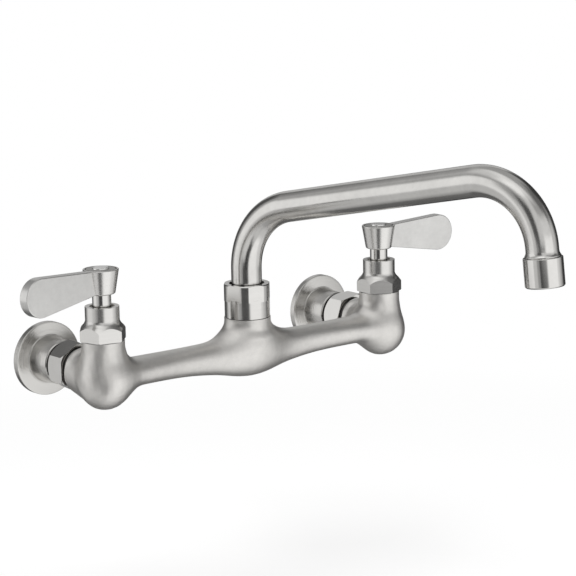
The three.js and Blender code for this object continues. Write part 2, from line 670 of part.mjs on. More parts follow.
// Outline of the blade seen from its side: straight edges from the hub, tangent to a round tip.
function bladeOutline() {
  const tipX = LEVER_LENGTH - LEVER_TIP_RADIUS;
  const tipZ = hubTop - LEVER_TIP_DROP;
  const tangent = (rootZ, side) => {
    const [dx, dz] = [tipX, tipZ - rootZ];
    const slope = Math.atan2(dz, dx);
    const lift = Math.asin(LEVER_TIP_RADIUS / Math.hypot(dx, dz));
    return slope + side * (lift + Math.PI / 2);
  };
  const upper = tangent(hubTop - LEVER_ROOT_TOP, 1);
  const lower = tangent(hubTop - LEVER_ROOT_BOTTOM, -1);
  const shape = new THREE.Shape();
  shape.moveTo(0, hubTop - LEVER_ROOT_BOTTOM);
  shape.absarc(tipX, tipZ, LEVER_TIP_RADIUS, lower, upper, false);
  shape.lineTo(0, hubTop - LEVER_ROOT_TOP);
  shape.closePath();
  return shape;
}

function handle(leverAngle) {
  const depth = LEVER_THICKNESS - 2 * LEVER_EDGE;
  const blade = new THREE.ExtrudeGeometry(bladeOutline(), {
    depth,
    curveSegments: BLADE_TIP_STEPS,
    bevelEnabled: true,
    bevelThickness: LEVER_EDGE,
    bevelSize: LEVER_EDGE,
    bevelOffset: -LEVER_EDGE,
    bevelSegments: 1,
  });
  blade.rotateX(Math.PI / 2).translate(0, depth / 2, 0);
  const hub = turned([
    [0, hubBottom],
    [HUB_BOTTOM_RADIUS - HUB_ROUNDING, hubBottom],
    [HUB_BOTTOM_RADIUS, hubBottom + HUB_ROUNDING],
    [HUB_TOP_RADIUS, hubTop - HUB_ROUNDING / 2],
    [HUB_TOP_RADIUS - HUB_ROUNDING / 4, hubTop],
    [0, hubTop],
  ]);
  const socketRadius = DRIVE_RADIUS + GAP / Math.cos(Math.PI / DRIVE_SIDES);
  const bores = [
    rod(socketRadius, hubBottom - REACH_THROUGH, driveTop + GAP, DRIVE_SIDES),
    rod(SCREW_RADIUS + GAP, driveTop, screwSeat + REACH_THROUGH, SMALL),
    rod(SCREW_HEAD_RADIUS + GAP, screwSeat, hubTop, COARSE),
    rod(BUTTON_RADIUS + GAP, hubTop - BUTTON_SEAT, hubTop + REACH_THROUGH),
  ];
  const body = cut(join(solid(hub), solid(blade)), ...bores.map(solid));
  return { body, turn: THREE.MathUtils.degToRad(leverAngle) };
}

function handleScrew() {
  const body = solid(turned([
    [0, screwTip],
    [SCREW_RADIUS, screwTip],
    [SCREW_RADIUS, screwHeadBottom],
    [SCREW_HEAD_RADIUS, screwHeadBottom],
    [SCREW_HEAD_RADIUS, screwTop],
    [0, screwTop],
  ], SMALL));
  const slots = [
    box(SCREW_SLOT_LENGTH, SCREW_SLOT, 2 * SCREW_SLOT, 0, 0, screwTop),
    box(SCREW_SLOT, SCREW_SLOT_LENGTH, 2 * SCREW_SLOT, 0, 0, screwTop),
  ];
  return cut(body, ...slots.map(solid));
}

function indexButton() {
  return solid(turned([
    [0, buttonPlugBottom],
    [BUTTON_PLUG_RADIUS, buttonPlugBottom],
    [BUTTON_PLUG_RADIUS, buttonUnderside],
    [BUTTON_RADIUS, buttonUnderside],
    [BUTTON_RADIUS, hubTop - BUTTON_EDGE],
    [BUTTON_RADIUS - BUTTON_EDGE, hubTop],
    [BUTTON_BOSS_RADIUS + BUTTON_EDGE, hubTop + BUTTON_EDGE / 2],
    [BUTTON_BOSS_RADIUS, hubTop + BUTTON_BOSS_RISE - BUTTON_EDGE / 2],
    [0, hubTop + BUTTON_BOSS_RISE],
  ]));
}

// ---- both sides ----------------------------------------------------------------------------------------

for (const { name, x, leverAngle, hexAngle } of SIDES) {
  const atInlet = (geometry) => geometry.translate(x, 0, 0);
  const atValve = (geometry) => geometry.translate(x, -STANDOFF, 0);
  const { body, turn } = handle(leverAngle);
  const atLever = (geometry) => atValve(geometry.rotateZ(turn));
  addNode(`${name}_inlet_flange`, inletFlange(), SATIN_STEEL, atInlet);
  addNode(`${name}_union_tail`, unionTail(), BRASS, atInlet);
  addNode(`${name}_coupling_nut`, couplingNut(), POLISHED_STEEL, atInlet);
  const washer = sleeve(TAIL_BORE_RADIUS, shoulderRadius, inletWasherBack, inletWasherFront, COARSE);
  addNode(`${name}_inlet_washer`, solid(alongInlet(washer)), RUBBER, atInlet);
  const seal = sleeve(SEAL_BORE_RADIUS, DISC_RADIUS, sealBottom, sealBottom + SEAL_HEIGHT, COARSE);
  addNode(`${name}_seat_seal`, solid(seal), RUBBER, atValve);
  addNode(`${name}_fixed_disc`, disc(fixedDiscBottom, leverAngle + 90), CERAMIC, atValve);
  addNode(`${name}_moving_disc`, disc(movingDiscBottom, leverAngle), CERAMIC, atValve);
  addNode(`${name}_cage`, cage(), BRASS, atValve);
  addNode(`${name}_stem`, stem(), POLISHED_STEEL, atLever);
  const groove = STEM_RADIUS - STEM_GROOVE_DEPTH + GAP / 2;
  const stemRing = sealingRing(groove, groove + STEM_RING_THICKNESS, stemRingHeight);
  addNode(`${name}_stem_ring`, solid(stemRing), RUBBER, atValve);
  addNode(`${name}_bonnet`, bonnet(hexAngle), POLISHED_STEEL, atValve);
  addNode(`${name}_bonnet_ring`, bonnetRing(), RUBBER, atValve);
  addNode(`${name}_handle`, body, LEVER_STEEL, atLever);
  addNode(`${name}_handle_screw`, handleScrew(), BRASS, atLever);
  addNode(`${name}_index_button`, indexButton(), PLASTIC, atLever);
}

// ---- spout ---------------------------------------------------------------------------------------------

// Centre line of the spout in the upright plane it lies in, with x as the reach from the swivel axis.
// Equal steps of t give one step along each straight and the same number of steps round each bend.
class SpoutLine extends THREE.Curve {
  constructor(bottom, bendStart, bendSteps) {
    super();
    const rise = THREE.MathUtils.degToRad(ARM_RISE);
    const lean = THREE.MathUtils.degToRad(TIP_LEAN);
    const up = new THREE.Vector3(0, 0, 1);
    const stations = [{ at: new THREE.Vector3(0, 0, bottom), along: up }];
    const straight = (length) => {
      const { at, along } = stations[stations.length - 1];
      stations.push({ at: at.clone().addScaledVector(along, length), along });
    };
    const bend = (radius, from, to) => {
      const { at } = stations[stations.length - 1];
      const outward = (angle) => new THREE.Vector3(-Math.sin(angle), 0, Math.cos(angle));
      const centre = at.clone().addScaledVector(outward(from), -radius);
      for (let i = 1; i <= bendSteps; i += 1) {
        const angle = from + ((to - from) * i) / bendSteps;
        const along = new THREE.Vector3(Math.cos(angle), 0, Math.sin(angle));
        stations.push({ at: centre.clone().addScaledVector(outward(angle), radius), along });
      }
    };
    straight(bendStart - bottom);
    bend(COLUMN_BEND_RADIUS, Math.PI / 2, rise);
    straight(ARM_LENGTH);
    bend(TIP_BEND_RADIUS, rise, lean - Math.PI / 2);
    straight(TIP_LENGTH);
    this.stations = stations;
  }

  get steps() {
    return this.stations.length - 1;
  }

  get end() {
    return this.stations[this.steps].at;
  }

  getUtoTmapping(u) {
    return u;
  }

  // Station before t and the share of the way to the next one.
  locate(t) {
    const place = Math.min(Math.max(t, 0), 1) * this.steps;
    const index = Math.min(Math.floor(place), this.steps - 1);
    return [this.stations[index], this.stations[index + 1], place - index];
  }

  getPoint(t, target = new THREE.Vector3()) {
    const [from, to, share] = this.locate(t);
    return target.lerpVectors(from.at, to.at, share);
  }

  getTangent(t, target = new THREE.Vector3()) {
    const [from, to, share] = this.locate(t);
    return target.lerpVectors(from.along, to.along, share).normalize();
  }
}

// Round bar swept along the spout's centre line.
function sweep(line, radius, sides) {
  const section = new THREE.Shape();
  for (let i = 0; i < sides; i += 1) {
    const angle = (2 * Math.PI * i) / sides;
    const [px, py] = [radius * Math.cos(angle), radius * Math.sin(angle)];
    if (i === 0) {
      section.moveTo(px, py);
    } else {
      section.lineTo(px, py);
    }
  }
  return solid(new THREE.ExtrudeGeometry(section, { steps: line.steps, extrudePath: line }));
}

// Heights at the foot of the spout.
const ferruleBottom = spigotTop + 2 * GAP;
const ferruleTop = ferruleBottom + FERRULE_HEIGHT;
const bearingBottom = ferruleTop + GAP;
const bearingTop = bearingBottom + BEARING_HEIGHT;
const nutCeiling = bearingTop + GAP;
const nutBottom = SPOUT_TOWER_TOP + GAP;
const nutStep = nutBottom + NUT_ROUND_HEIGHT;
const nutTop = nutBottom + NUT_HEIGHT;
const bendStart = nutTop + COLUMN_EXPOSED;
const ringHeights = [0, 1].map((place) => SPOUT_SEAT_HEIGHT + FIRST_RING + place * RING_SPACING);

// Depths below the tube's end, each following from the shell's length.
const lipTop = -SHELL_LENGTH + SHELL_LIP;
const screenBottom = lipTop + GAP;
const insertBottom = screenBottom + SCREEN_HEIGHT + GAP;
const aeratorWasherBottom = insertBottom + INSERT_HEIGHT + GAP;
const aeratorWasherTop = aeratorWasherBottom + AERATOR_WASHER_THICKNESS;
const outletThreadEnd = aeratorWasherTop + GAP;

const outerLine = new SpoutLine(ferruleTop - REACH_THROUGH, bendStart, BEND_STEPS);
const innerLine = new SpoutLine(ferruleTop, bendStart, BORE_BEND_STEPS);
const outletLean = THREE.MathUtils.degToRad(TIP_LEAN);
const swing = THREE.MathUtils.degToRad(SPOUT_SWING);

// Pieces at the outlet are turned about Z with their top at height 0, then laid on the tube's end.
const atOutlet = (geometry) => geometry.rotateY(-outletLean).translate(outerLine.end.x, 0, outerLine.end.z);
const atSpout = (geometry) => geometry.rotateZ(-swing).translate(0, -STANDOFF, 0);

function spout() {
  const ringGroove = RING_THICKNESS / 2 + GAP;
  const foot = [
    [0, SPOUT_SEAT_HEIGHT + SPIGOT_CLEARANCE],
    [SPIGOT_RADIUS, SPOUT_SEAT_HEIGHT + SPIGOT_CLEARANCE],
  ];
  for (const height of ringHeights) {
    foot.push(
      [SPIGOT_RADIUS, height - ringGroove],
      [SPIGOT_RADIUS - RING_GROOVE_DEPTH, height - ringGroove],
      [SPIGOT_RADIUS - RING_GROOVE_DEPTH, height + ringGroove],
      [SPIGOT_RADIUS, height + ringGroove],
    );
  }
  foot.push(
    [SPIGOT_RADIUS, ferruleBottom],
    [ferruleRadius, ferruleBottom],
    [ferruleRadius, ferruleTop],
    [0, ferruleTop],
  );
  const beadEnd = GAP;
  const beadRadius = TUBE_RADIUS + FLARE_RISE;
  const tip = turned([
    [0, FLARE_LENGTH + beadEnd],
    [TUBE_RADIUS, FLARE_LENGTH + beadEnd],
    [beadRadius, 2 * beadEnd],
    [beadRadius, beadEnd],
    [outletThreadRadius, beadEnd],
    [outletThreadRadius, outletThreadEnd],
    [0, outletThreadEnd],
  ]);
  const waterWay = TUBE_RADIUS - TUBE_WALL;
  const footBore = rod(SPIGOT_BORE_RADIUS, SPOUT_SEAT_HEIGHT, ferruleTop + REACH_THROUGH, COARSE);
  const tipBore = rod(waterWay, outletThreadEnd - REACH_THROUGH, REACH_THROUGH, TUBE_BORE_SIDES);
  return cut(
    join(sweep(outerLine, TUBE_RADIUS, TUBE_SIDES), solid(turned(foot)), solid(atOutlet(tip))),
    sweep(innerLine, waterWay, TUBE_BORE_SIDES),
    solid(footBore),
    solid(atOutlet(tipBore)),
  );
}

function spoutNut() {
  const lower = solid(rod(NUT_RADIUS, nutBottom, nutStep));
  const corner = turned([
    [0, nutStep],
    [NUT_CORNER_RADIUS, nutStep],
    [NUT_CORNER_RADIUS, nutTop - NUT_EDGE],
    [NUT_CORNER_RADIUS - NUT_EDGE, nutTop],
    [0, nutTop],
  ]);
  const hexagon = prism(NUT_FLATS, HEX, nutStep - REACH_THROUGH, nutTop + REACH_THROUGH, NUT_HEX_ANGLE);
  const upper = solid(corner).intersect(solid(hexagon));
  const hollow = rod(spigotThreadRadius + GAP, nutBottom - REACH_THROUGH, nutCeiling);
  const mouth = rod(nutMouthRadius, nutCeiling - REACH_THROUGH, nutTop + REACH_THROUGH);
  return cut(join(lower, upper), solid(hollow), solid(mouth));
}

addNode('spout', spout(), SATIN_STEEL, atSpout);
addNode('spout_nut', spoutNut(), POLISHED_STEEL, (geometry) => geometry.translate(0, -STANDOFF, 0));
const bearing = sleeve(TUBE_RADIUS + GAP, ferruleRadius, bearingBottom, bearingTop);
addNode('spout_bearing', solid(bearing), NYLON, atSpout);
ringHeights.forEach((height, index) => {
  const inner = SPIGOT_RADIUS - RING_THICKNESS;
  addNode(`spout_ring_${index + 1}`, solid(sealingRing(inner, SPIGOT_RADIUS, height)), RUBBER, atSpout);
});

// ---- aerator -------------------------------------------------------------------------------------------

function aeratorShell() {
  const inner = outletThreadRadius + GAP;
  return solid(atOutlet(turned([
    [inner, 0],
    [SHELL_RADIUS - SHELL_EDGE / 2, 0],
    [SHELL_RADIUS, -SHELL_EDGE / 2],
    [SHELL_RADIUS, -SHELL_LENGTH + SHELL_EDGE],
    [SHELL_RADIUS - SHELL_EDGE, -SHELL_LENGTH],
    [SHELL_LIP_RADIUS, -SHELL_LENGTH],
    [SHELL_LIP_RADIUS, lipTop],
    [inner, lipTop],
  ])));
}

// Cup with a ring of holes and one in the middle that breaks the water up.
function aeratorInsert() {
  const top = insertBottom + INSERT_HEIGHT;
  const hole = () => rod(INSERT_HOLE_RADIUS, insertBottom - REACH_THROUGH, top + REACH_THROUGH, SMALL);
  const holes = [hole()];
  for (let i = 0; i < INSERT_HOLES; i += 1) {
    const angle = (2 * Math.PI * i) / INSERT_HOLES;
    const [px, py] = [INSERT_HOLE_CIRCLE * Math.cos(angle), INSERT_HOLE_CIRCLE * Math.sin(angle)];
    holes.push(hole().translate(px, py, 0));
  }
  const body = solid(atOutlet(rod(outletThreadRadius, insertBottom, top, COARSE)));
  return cut(body, ...holes.map((cutter) => solid(atOutlet(cutter))));
}

// Grid at the outlet; cells that would break its rim are left out.
function aeratorScreen() {
  const half = (SCREEN_CELLS - 1) / 2;
  const cells = [];
  for (let row = -half; row <= half; row += 1) {
    for (let column = -half; column <= half; column += 1) {
      const [px, py] = [row * SCREEN_PITCH, column * SCREEN_PITCH];
      if (Math.hypot(px, py) + SCREEN_CELL / Math.SQRT2 < SHELL_LIP_RADIUS) {
        const height = SCREEN_HEIGHT + 2 * REACH_THROUGH;
        cells.push(box(SCREEN_CELL, SCREEN_CELL, height, px, py, screenBottom + SCREEN_HEIGHT / 2));
      }
    }
  }
  const body = solid(atOutlet(rod(outletThreadRadius, screenBottom, screenBottom + SCREEN_HEIGHT, COARSE)));
  return cut(body, ...cells.map((cell) => solid(atOutlet(cell))));
}

addNode('aerator_shell', aeratorShell(), POLISHED_STEEL, atSpout);
const aeratorWasher = sleeve(TUBE_RADIUS - TUBE_WALL, outletThreadRadius,
  aeratorWasherBottom, aeratorWasherTop, COARSE);
addNode('aerator_washer', solid(atOutlet(aeratorWasher)), RUBBER, atSpout);
addNode('aerator_insert', aeratorInsert(), NYLON, atSpout);
addNode('aerator_screen', aeratorScreen(), POLISHED_STEEL, atSpout);

export default group;
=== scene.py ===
import math

import bpy
from mathutils import Matrix, Vector


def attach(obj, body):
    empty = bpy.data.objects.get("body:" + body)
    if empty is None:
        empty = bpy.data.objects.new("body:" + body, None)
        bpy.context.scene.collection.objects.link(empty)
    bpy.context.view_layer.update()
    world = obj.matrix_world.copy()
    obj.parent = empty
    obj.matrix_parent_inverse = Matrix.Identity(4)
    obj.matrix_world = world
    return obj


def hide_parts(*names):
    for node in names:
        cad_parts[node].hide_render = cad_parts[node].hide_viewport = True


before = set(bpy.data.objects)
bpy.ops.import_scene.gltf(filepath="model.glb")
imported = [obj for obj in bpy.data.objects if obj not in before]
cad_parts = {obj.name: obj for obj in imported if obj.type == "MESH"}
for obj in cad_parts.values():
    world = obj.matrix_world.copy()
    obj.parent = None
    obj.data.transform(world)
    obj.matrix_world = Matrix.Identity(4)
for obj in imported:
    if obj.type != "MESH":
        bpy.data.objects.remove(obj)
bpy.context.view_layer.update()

# Dresses the wall faucet: a satin casting, turned and polished fittings, two levers and a swing spout.
# Sizes are in millimetres, and MM turns them into metres. They follow the solids, and the casting's swells
# and skirt, the bonnet's flare and the flange's bead and lip are added here. Heights are above the inlets'
# axes, and places along an inlet are distances from the wall.
MM = 0.001

# ---- sizes -------------------------------------------------------------------------------------------
GAP = 0.3              # between pieces that touch on the real thing
PAST = 1               # how far a cutting or joined piece runs past a face
VALVE_X = 101.6        # from the middle to each valve's axis
STANDOFF = 60.75       # from the wall to the valves and the spout's foot

# Each side's turns in degrees: of its lever, of its bonnet's hexagon and of its coupling nut.
SIDES = (
    {"name": "hot", "body": "hot_valve", "x": -VALVE_X, "lever": 187.5, "hex": 46, "nut": 0},
    {"name": "cold", "body": "cold_valve", "x": VALVE_X, "lever": -2, "hex": 25.7, "nut": -20},
)

# Casting: towers, collars and bores.
TOWER_TOP = 19.74
TOWER_RADIUS = 12.2
CHAMBER_RADIUS = 9.9
COLLAR_RADIUS = 12
COLLAR_BACK = 38.5
COLLAR_FACED_OFF = 0.4
SPOUT_TOWER_TOP = 18.68
SPOUT_TOWER_RADIUS = 13.6
SPOUT_BORE_RADIUS = 7.9
INLET_BORE_RADIUS = 6.3
CASTING_BEVEL = 0.3

# Casting: the swell that runs from each collar down into the valve's bulb.
SWELL_RADIUS = 12.4
SWELL_ROOT_RADIUS = 14.1
SWELL_LENGTH = 19
SWELL_DROP = 1.6
SWELL_SLOPE = 8
SWELL_BORE = 9

# Casting: the skirt round the spout tower, as (down from its top, out from its side).
TOWER_SKIRT = ((0, -0.1), (2, 0.35), (4.5, 1.3), (6.5, 2.4), (8.5, 3.7), (11, 5))
SKIRT_INSET = 0.15
SKIRT_BORE_CLEARANCE = 1
SKIRT_DEPTH = 0.84     # front to back, for a width of one

# Casting: bosses run on past their ends, the skin is remeshed and rubbed, and the ends are faced off.
BOSS_ROOT = 2
RUN_ON = 5
SKIN_VOXEL = 0.7
RUB_FACTOR = 0.5
RUB_ROUNDS = 20
FACING_HALF_WIDTH = 20
FACING_FRONT = -90
FACING_BACK = -30
FACING_TOP = 60
COLLAR_FACING_HALF_HEIGHT = 25

# Threads, cut as rings.
THREAD_PITCH = 1.4
THREAD_DEPTH = 0.6
THREAD_LEAD = 0.5
NIPPLE_RADIUS = 11
NIPPLE_BACK = 28.7
SPIGOT_THREAD_RADIUS = 11
SPIGOT_TOP = 26.6

# Coupling nut.
COUPLING_FRONT = 36.5
COUPLING_BACK = 22.7
COUPLING_FLATS = 25.4
COUPLING_FRONT_CHAMFER = 0.7
COUPLING_FRONT_INSET = 1
COUPLING_BACK_CHAMFER = 2.6
COUPLING_BACK_INSET = 0.1
COUPLING_BACK_WALL = 1.3
COUPLING_MOUTH_CHAMFER = 0.5
COUPLING_MOUTH_OVER = 0.1      # how far the chamfer's cut runs past the face
COUPLING_BEVEL = 0.4

# Flange with its neck.
FLANGE_RADIUS = 21.4
FLANGE_THICKNESS = 4.45
FLANGE_DISH = 0.55
FLANGE_BACK_CHAMFER = 0.4
FLANGE_EDGE = 0.35
FLANGE_LIP = 1.4
FLANGE_LIP_DROP = 0.3
FLANGE_BEVEL = 0.22
NECK_BASE_RADIUS = 13.5
NECK_BEAD = 0.8
NECK_BEAD_FOOT = 0.1
NECK_BEAD_SHOULDER = 0.3
NECK_TIP_RADIUS = 12.6
NECK_TIP_CHAMFER = 0.6
NECK_END = 20.3
SOCKET_RADIUS = 10.4
SOCKET_DEPTH = 10
TAIL_RADIUS = 8.7

# Bonnet; its flare is given as (out from the barrel, up from the hexagon's top).
BONNET_BOTTOM = 12.5
HEX_BOTTOM = 20.04
HEX_TOP = 27.54
HEX_FOOT_CHAMFER = 0.4
BONNET_TOP = 39.29
BONNET_CORNER_RADIUS = 13.6
BONNET_FLARE = (
    (3.95, -1.75), (2.13, 0.66), (1.45, 1.3), (0.9, 1.95), (0.5, 2.55), (0.22, 3.15), (0.05, 3.75), (0, 4.2),
)
BARREL_RADIUS = 9.65
BONNET_GROOVE = 1.8
BONNET_GROOVE_DEPTH = 1.3
RECESS_RADIUS = 7
RECESS_DEPTH = 2
BONNET_BEVEL = 0.3

# Stem.
STEM_RADIUS = 5.29
STEM_FOOT_RADIUS = 7.3
STEM_FOOT_BOTTOM = 9.6
STEM_FOOT_TOP = 12.2
STEM_RING_HEIGHT = 31.49
STEM_GROOVE = 0.85
STEM_GROOVE_DEPTH = 1.3
STEM_BEVEL = 0.2
DRIVE_RADIUS = 4.2
DRIVE_TOP = 52.52
DRIVE_CLEARANCE = 0.45

# Lever: a conical hub and a flat blade.
HUB_BOTTOM = 46.22
HUB_TOP = 60.25
HUB_BOTTOM_RADIUS = 7.9
HUB_TOP_RADIUS = 10.05
HUB_FOOT_FACE = 1
HUB_FOOT_ROUND = 1.1
HUB_TOP_ROUND = 0.4
HUB_TOP_SHOULDER = 0.5
LEVER_LENGTH = 56
LEVER_THICKNESS = 6.3
LEVER_TIP_RADIUS = 10.9
LEVER_TIP_DROP = 9.35
LEVER_ROOT_TOP = 0.75
LEVER_ROOT_BOTTOM = 12.7
BLADE_BEVEL = 0.55
LEVER_BEVEL = 0.12
SCREW_SEAT = 54.42
SCREW_HEAD_RADIUS = 4
SCREW_RADIUS = 1.9
SCREW_HOLE_DEPTH = 7.7

# Index button; its dome is given as (out from the dome's radius, up from the hub's top).
BUTTON_RADIUS = 8.6
BUTTON_CLEARANCE = 0.35
BUTTON_EDGE = 0.35
BUTTON_SEAT = 1.3
BUTTON_PLUG_RADIUS = 4
BUTTON_PLUG_BOTTOM = 57.55
BUTTON_DOME_RADIUS = 4.7
BUTTON_DOME = ((0.5, 0), (0.1, 0.15), (-0.1, 0.7), (-0.5, 0.95), (-1.2, 0.98))
BUTTON_DOME_RISE = 1

# Spout: a column, a bend, a rising arm and a bend down to the tip, in one upright plane.
SPOUT_SWING = 77.2
TUBE_RADIUS = 8.93
TUBE_WALL = 2
COLUMN_BEND_RADIUS = 39.8
COLUMN_BEND_START = 47.1
ARM_RISE = 10.9
ARM_LENGTH = 129.3
TIP_BEND_RADIUS = 36.2
TIP_LEAN = 5.6
TIP_LENGTH = 4.8
BEAD_RADIUS = 9.9
BEAD_LENGTH = 3
FERRULE_RADIUS = 10.9
FERRULE_BOTTOM = 27.2
FERRULE_TOP = 30.2
SPIGOT_RADIUS = 7.6
SPIGOT_BORE = 4.9
SPIGOT_BOTTOM = 8
RING_HEIGHTS = (12, 17)
RING_GROOVE = 0.9
RING_GROOVE_DEPTH = 1.5

# Spout nut: round below, six shallow flats above.
NUT_BOTTOM = 18.98
NUT_STEP = 28.8
NUT_TOP = 38.5
NUT_CEILING = 32.3
NUT_RADIUS = 13.2
NUT_FLATS = 26
NUT_CORNER_RADIUS = 13.75
NUT_TOP_CHAMFER = 0.5
NUT_MOUTH_RADIUS = 10.3
NUT_HEX_ANGLE = 48
NUT_BEVEL = 0.3

# Aerator shell.
SHELL_RADIUS = 10.75
SHELL_LENGTH = 15.9
SHELL_TOP_CHAMFER = 0.3
SHELL_END_CHAMFER = 0.7
SHELL_END_INSET = 0.6
SHELL_LIP = 1.4
SHELL_LIP_RADIUS = 7.6
SHELL_BEVEL = 0.15
OUTLET_THREAD_RADIUS = 8.6
OUTLET_THREAD_LENGTH = 6

# ---- modelling by hand -------------------------------------------------------------------------------
FINE_ROUND = 128       # steps of a full turn
ROUND = 96
SMALL_ROUND = 64
COLUMN_BEND_STEPS = 36
TIP_BEND_STEPS = 40
BEAD_STEPS = 6
BLADE_TIP_STEPS = 72
WELD = 2e-6            # metres within which vertices are merged
TOUCH = 0.02           # a place this far past a flat face is clear of it
ROUND_TOUCH = 0.1      # the same past a round one
LOOKS_OUT = 0.9        # the least share of a face's normal that points away from the axis, or up or down
LOOKS_UP = 0.5


def pick(piece):
    """Leaves only this piece selected and active."""
    for other in bpy.context.selected_objects:
        other.select_set(False)
    piece.select_set(True)
    bpy.context.view_layer.objects.active = piece


def apply_all(piece):
    pick(piece)
    for modifier in list(piece.modifiers):
        bpy.ops.object.modifier_apply(modifier=modifier.name)


def lay(piece, matrix):
    """Puts the piece where the matrix says and works the place into its mesh."""
    piece.matrix_world = matrix
    pick(piece)
    bpy.ops.object.transform_apply(location=True, rotation=True, scale=True)
    return piece


def single_vertex(name, at):
    """A new piece of one vertex, left in edit mode with the vertex selected."""
    bpy.ops.mesh.primitive_plane_add(size=MM)
    piece = bpy.context.object
    piece.name = name
    bpy.ops.object.mode_set(mode="EDIT")
    bpy.ops.mesh.merge(type="CENTER")
    bpy.ops.transform.translate(value=at)
    return piece


def draw_on(points):
    """Draws a line of edges on from the selected vertex, through points in metres."""
    for start, end in zip(points, points[1:]):
        step = tuple(b - a for a, b in zip(start, end))
        bpy.ops.mesh.extrude_vertices_move(TRANSFORM_OT_translate={"value": step})


def close_up():
    """Merges doubled vertices, turns the faces outwards and leaves edit mode."""
    bpy.ops.mesh.select_all(action="SELECT")
    bpy.ops.mesh.remove_doubles(threshold=WELD)
    bpy.ops.mesh.normals_make_consistent(inside=False)
    bpy.ops.object.mode_set(mode="OBJECT")


def turned(name, profile, sides=ROUND):
    """A piece spun about Z from (radius, height) points; off the axis the profile is closed on itself."""
    if profile[0][0] > 0:
        profile = [*profile, profile[0]]
    points = [(radius * MM, 0, height * MM) for radius, height in profile]
    piece = single_vertex(name, points[0])
    draw_on(points)
    bpy.ops.mesh.select_all(action="SELECT")
    bpy.ops.mesh.spin(steps=sides, angle=2 * math.pi, center=(0, 0, 0), axis=(0, 0, 1))
    close_up()
    return piece


def hexagon(flats, bottom, top, angle):
    """A hexagonal bar across its flats, one corner pointing along the angle in degrees."""
    bpy.ops.mesh.primitive_cylinder_add(
        vertices=6,
        radius=flats / math.sqrt(3) * MM,
        depth=(top - bottom) * MM,
        location=(0, 0, (top + bottom) / 2 * MM),
    )
    piece = bpy.context.object
    first_corner = 90    # a new cylinder's corners start at Y
    return lay(piece, Matrix.Rotation(math.radians(angle - first_corner), 4, "Z") @ piece.matrix_world)


def block(low, high):
    """A box between two corners."""
    centre = [(a + b) / 2 * MM for a, b in zip(low, high)]
    bpy.ops.mesh.primitive_cube_add(size=1, location=centre)
    piece = bpy.context.object
    size = [(b - a) * MM for a, b in zip(low, high)]
    return lay(piece, Matrix.LocRotScale(Vector(centre), None, Vector(size)))


def combine(piece, other, operation):
    """Cuts, joins or crosses the piece with another, which is used up."""
    tool = piece.modifiers.new(operation.lower(), "BOOLEAN")
    tool.operation = operation
    tool.object = other
    tool.solver = "EXACT"
    apply_all(piece)
    bpy.data.objects.remove(other)


def join(piece, *others):
    """Makes several pieces one object, each shell as it was."""
    pick(piece)
    for other in others:
        other.select_set(True)
    bpy.ops.object.join()
    return piece


def bevel(piece, width, segments=2, angle=28):
    """Rounds the edges that turn by more than the angle."""
    edge = piece.modifiers.new("edge", "BEVEL")
    edge.width = width * MM
    edge.segments = segments
    edge.limit_method = "ANGLE"
    edge.angle_limit = math.radians(angle)
    edge.miter_outer = "MITER_ARC"
    apply_all(piece)


def smooth(piece, angle=32):
    """Shades smooth all but the edges that turn by more than the angle."""
    pick(piece)
    bpy.ops.object.shade_smooth_by_angle(angle=math.radians(angle))
    even = piece.modifiers.new("even", "WEIGHTED_NORMAL")
    even.keep_sharp = True
    apply_all(piece)


def arc(centre, radius, start, end, steps):
    """Points of an arc in the (radius, height) plane, angles in degrees from outward toward up."""
    points = []
    for i in range(steps + 1):
        angle = math.radians(start + (end - start) * i / steps)
        points.append((centre[0] + radius * math.cos(angle), centre[1] + radius * math.sin(angle)))
    return points


def turn(degrees):
    return Matrix.Rotation(math.radians(degrees), 4, "Z")


def along_inlet(side):
    """From a piece turned about Z to one on the inlet's axis, its height the distance from the wall."""
    return Matrix.Translation((side["x"] * MM, 0, 0)) @ Matrix.Rotation(math.pi / 2, 4, "X")


def as_tightened(side):
    """The place of the coupling nut."""
    return along_inlet(side) @ turn(side["nut"])


def at_valve(side):
    return Matrix.Translation((side["x"] * MM, -STANDOFF * MM, 0))


def with_lever(side):
    """The place of what turns with the lever."""
    return at_valve(side) @ turn(side["lever"])


def at_spout():
    return Matrix.Translation((0, -STANDOFF * MM, 0))


def on_each_side(piece, name, place):
    """Copies the piece to both sides, each copy with its own mesh, and gives the sides with their copies."""
    pairs = []
    for side in SIDES:
        own = piece.copy()
        own.data = piece.data.copy()
        own.name = f"{side['name']}_{name}"
        bpy.context.scene.collection.objects.link(own)
        pairs.append((side, lay(own, place(side))))
    bpy.data.objects.remove(piece)
    return pairs


# ---- shading -----------------------------------------------------------------------------------------


class Wire:
    """A node's output that takes part in sums."""

    def __init__(self, recipe, socket):
        self.recipe = recipe
        self.socket = socket

    def sum(self, operation, *values):
        return self.recipe.node("ShaderNodeMath", {"operation": operation}, dict(enumerate(values)))

    def __add__(self, other):
        return self.sum("ADD", self, other)

    def __radd__(self, other):
        return self.sum("ADD", other, self)

    def __sub__(self, other):
        return self.sum("SUBTRACT", self, other)

    def __rsub__(self, other):
        return self.sum("SUBTRACT", other, self)

    def __mul__(self, other):
        return self.sum("MULTIPLY", self, other)

    def __rmul__(self, other):
        return self.sum("MULTIPLY", other, self)

    def __truediv__(self, other):
        return self.sum("DIVIDE", self, other)

    def __rtruediv__(self, other):
        return self.sum("DIVIDE", other, self)

    def __pow__(self, other):
        return self.sum("POWER", self, other)

    def __rpow__(self, other):
        return self.sum("POWER", other, self)

    def __abs__(self):
        return self.sum("ABSOLUTE", self)

    def held(self):
        """Kept between nothing and one."""
        return self.recipe.node("ShaderNodeClamp", {}, {"Value": self})


# A Mix node's colour sockets share their names with its other sockets, so they go by number.
MIX_SHARE = 0
MIX_FIRST = 6
MIX_SECOND = 7
MIX_RESULT = 2


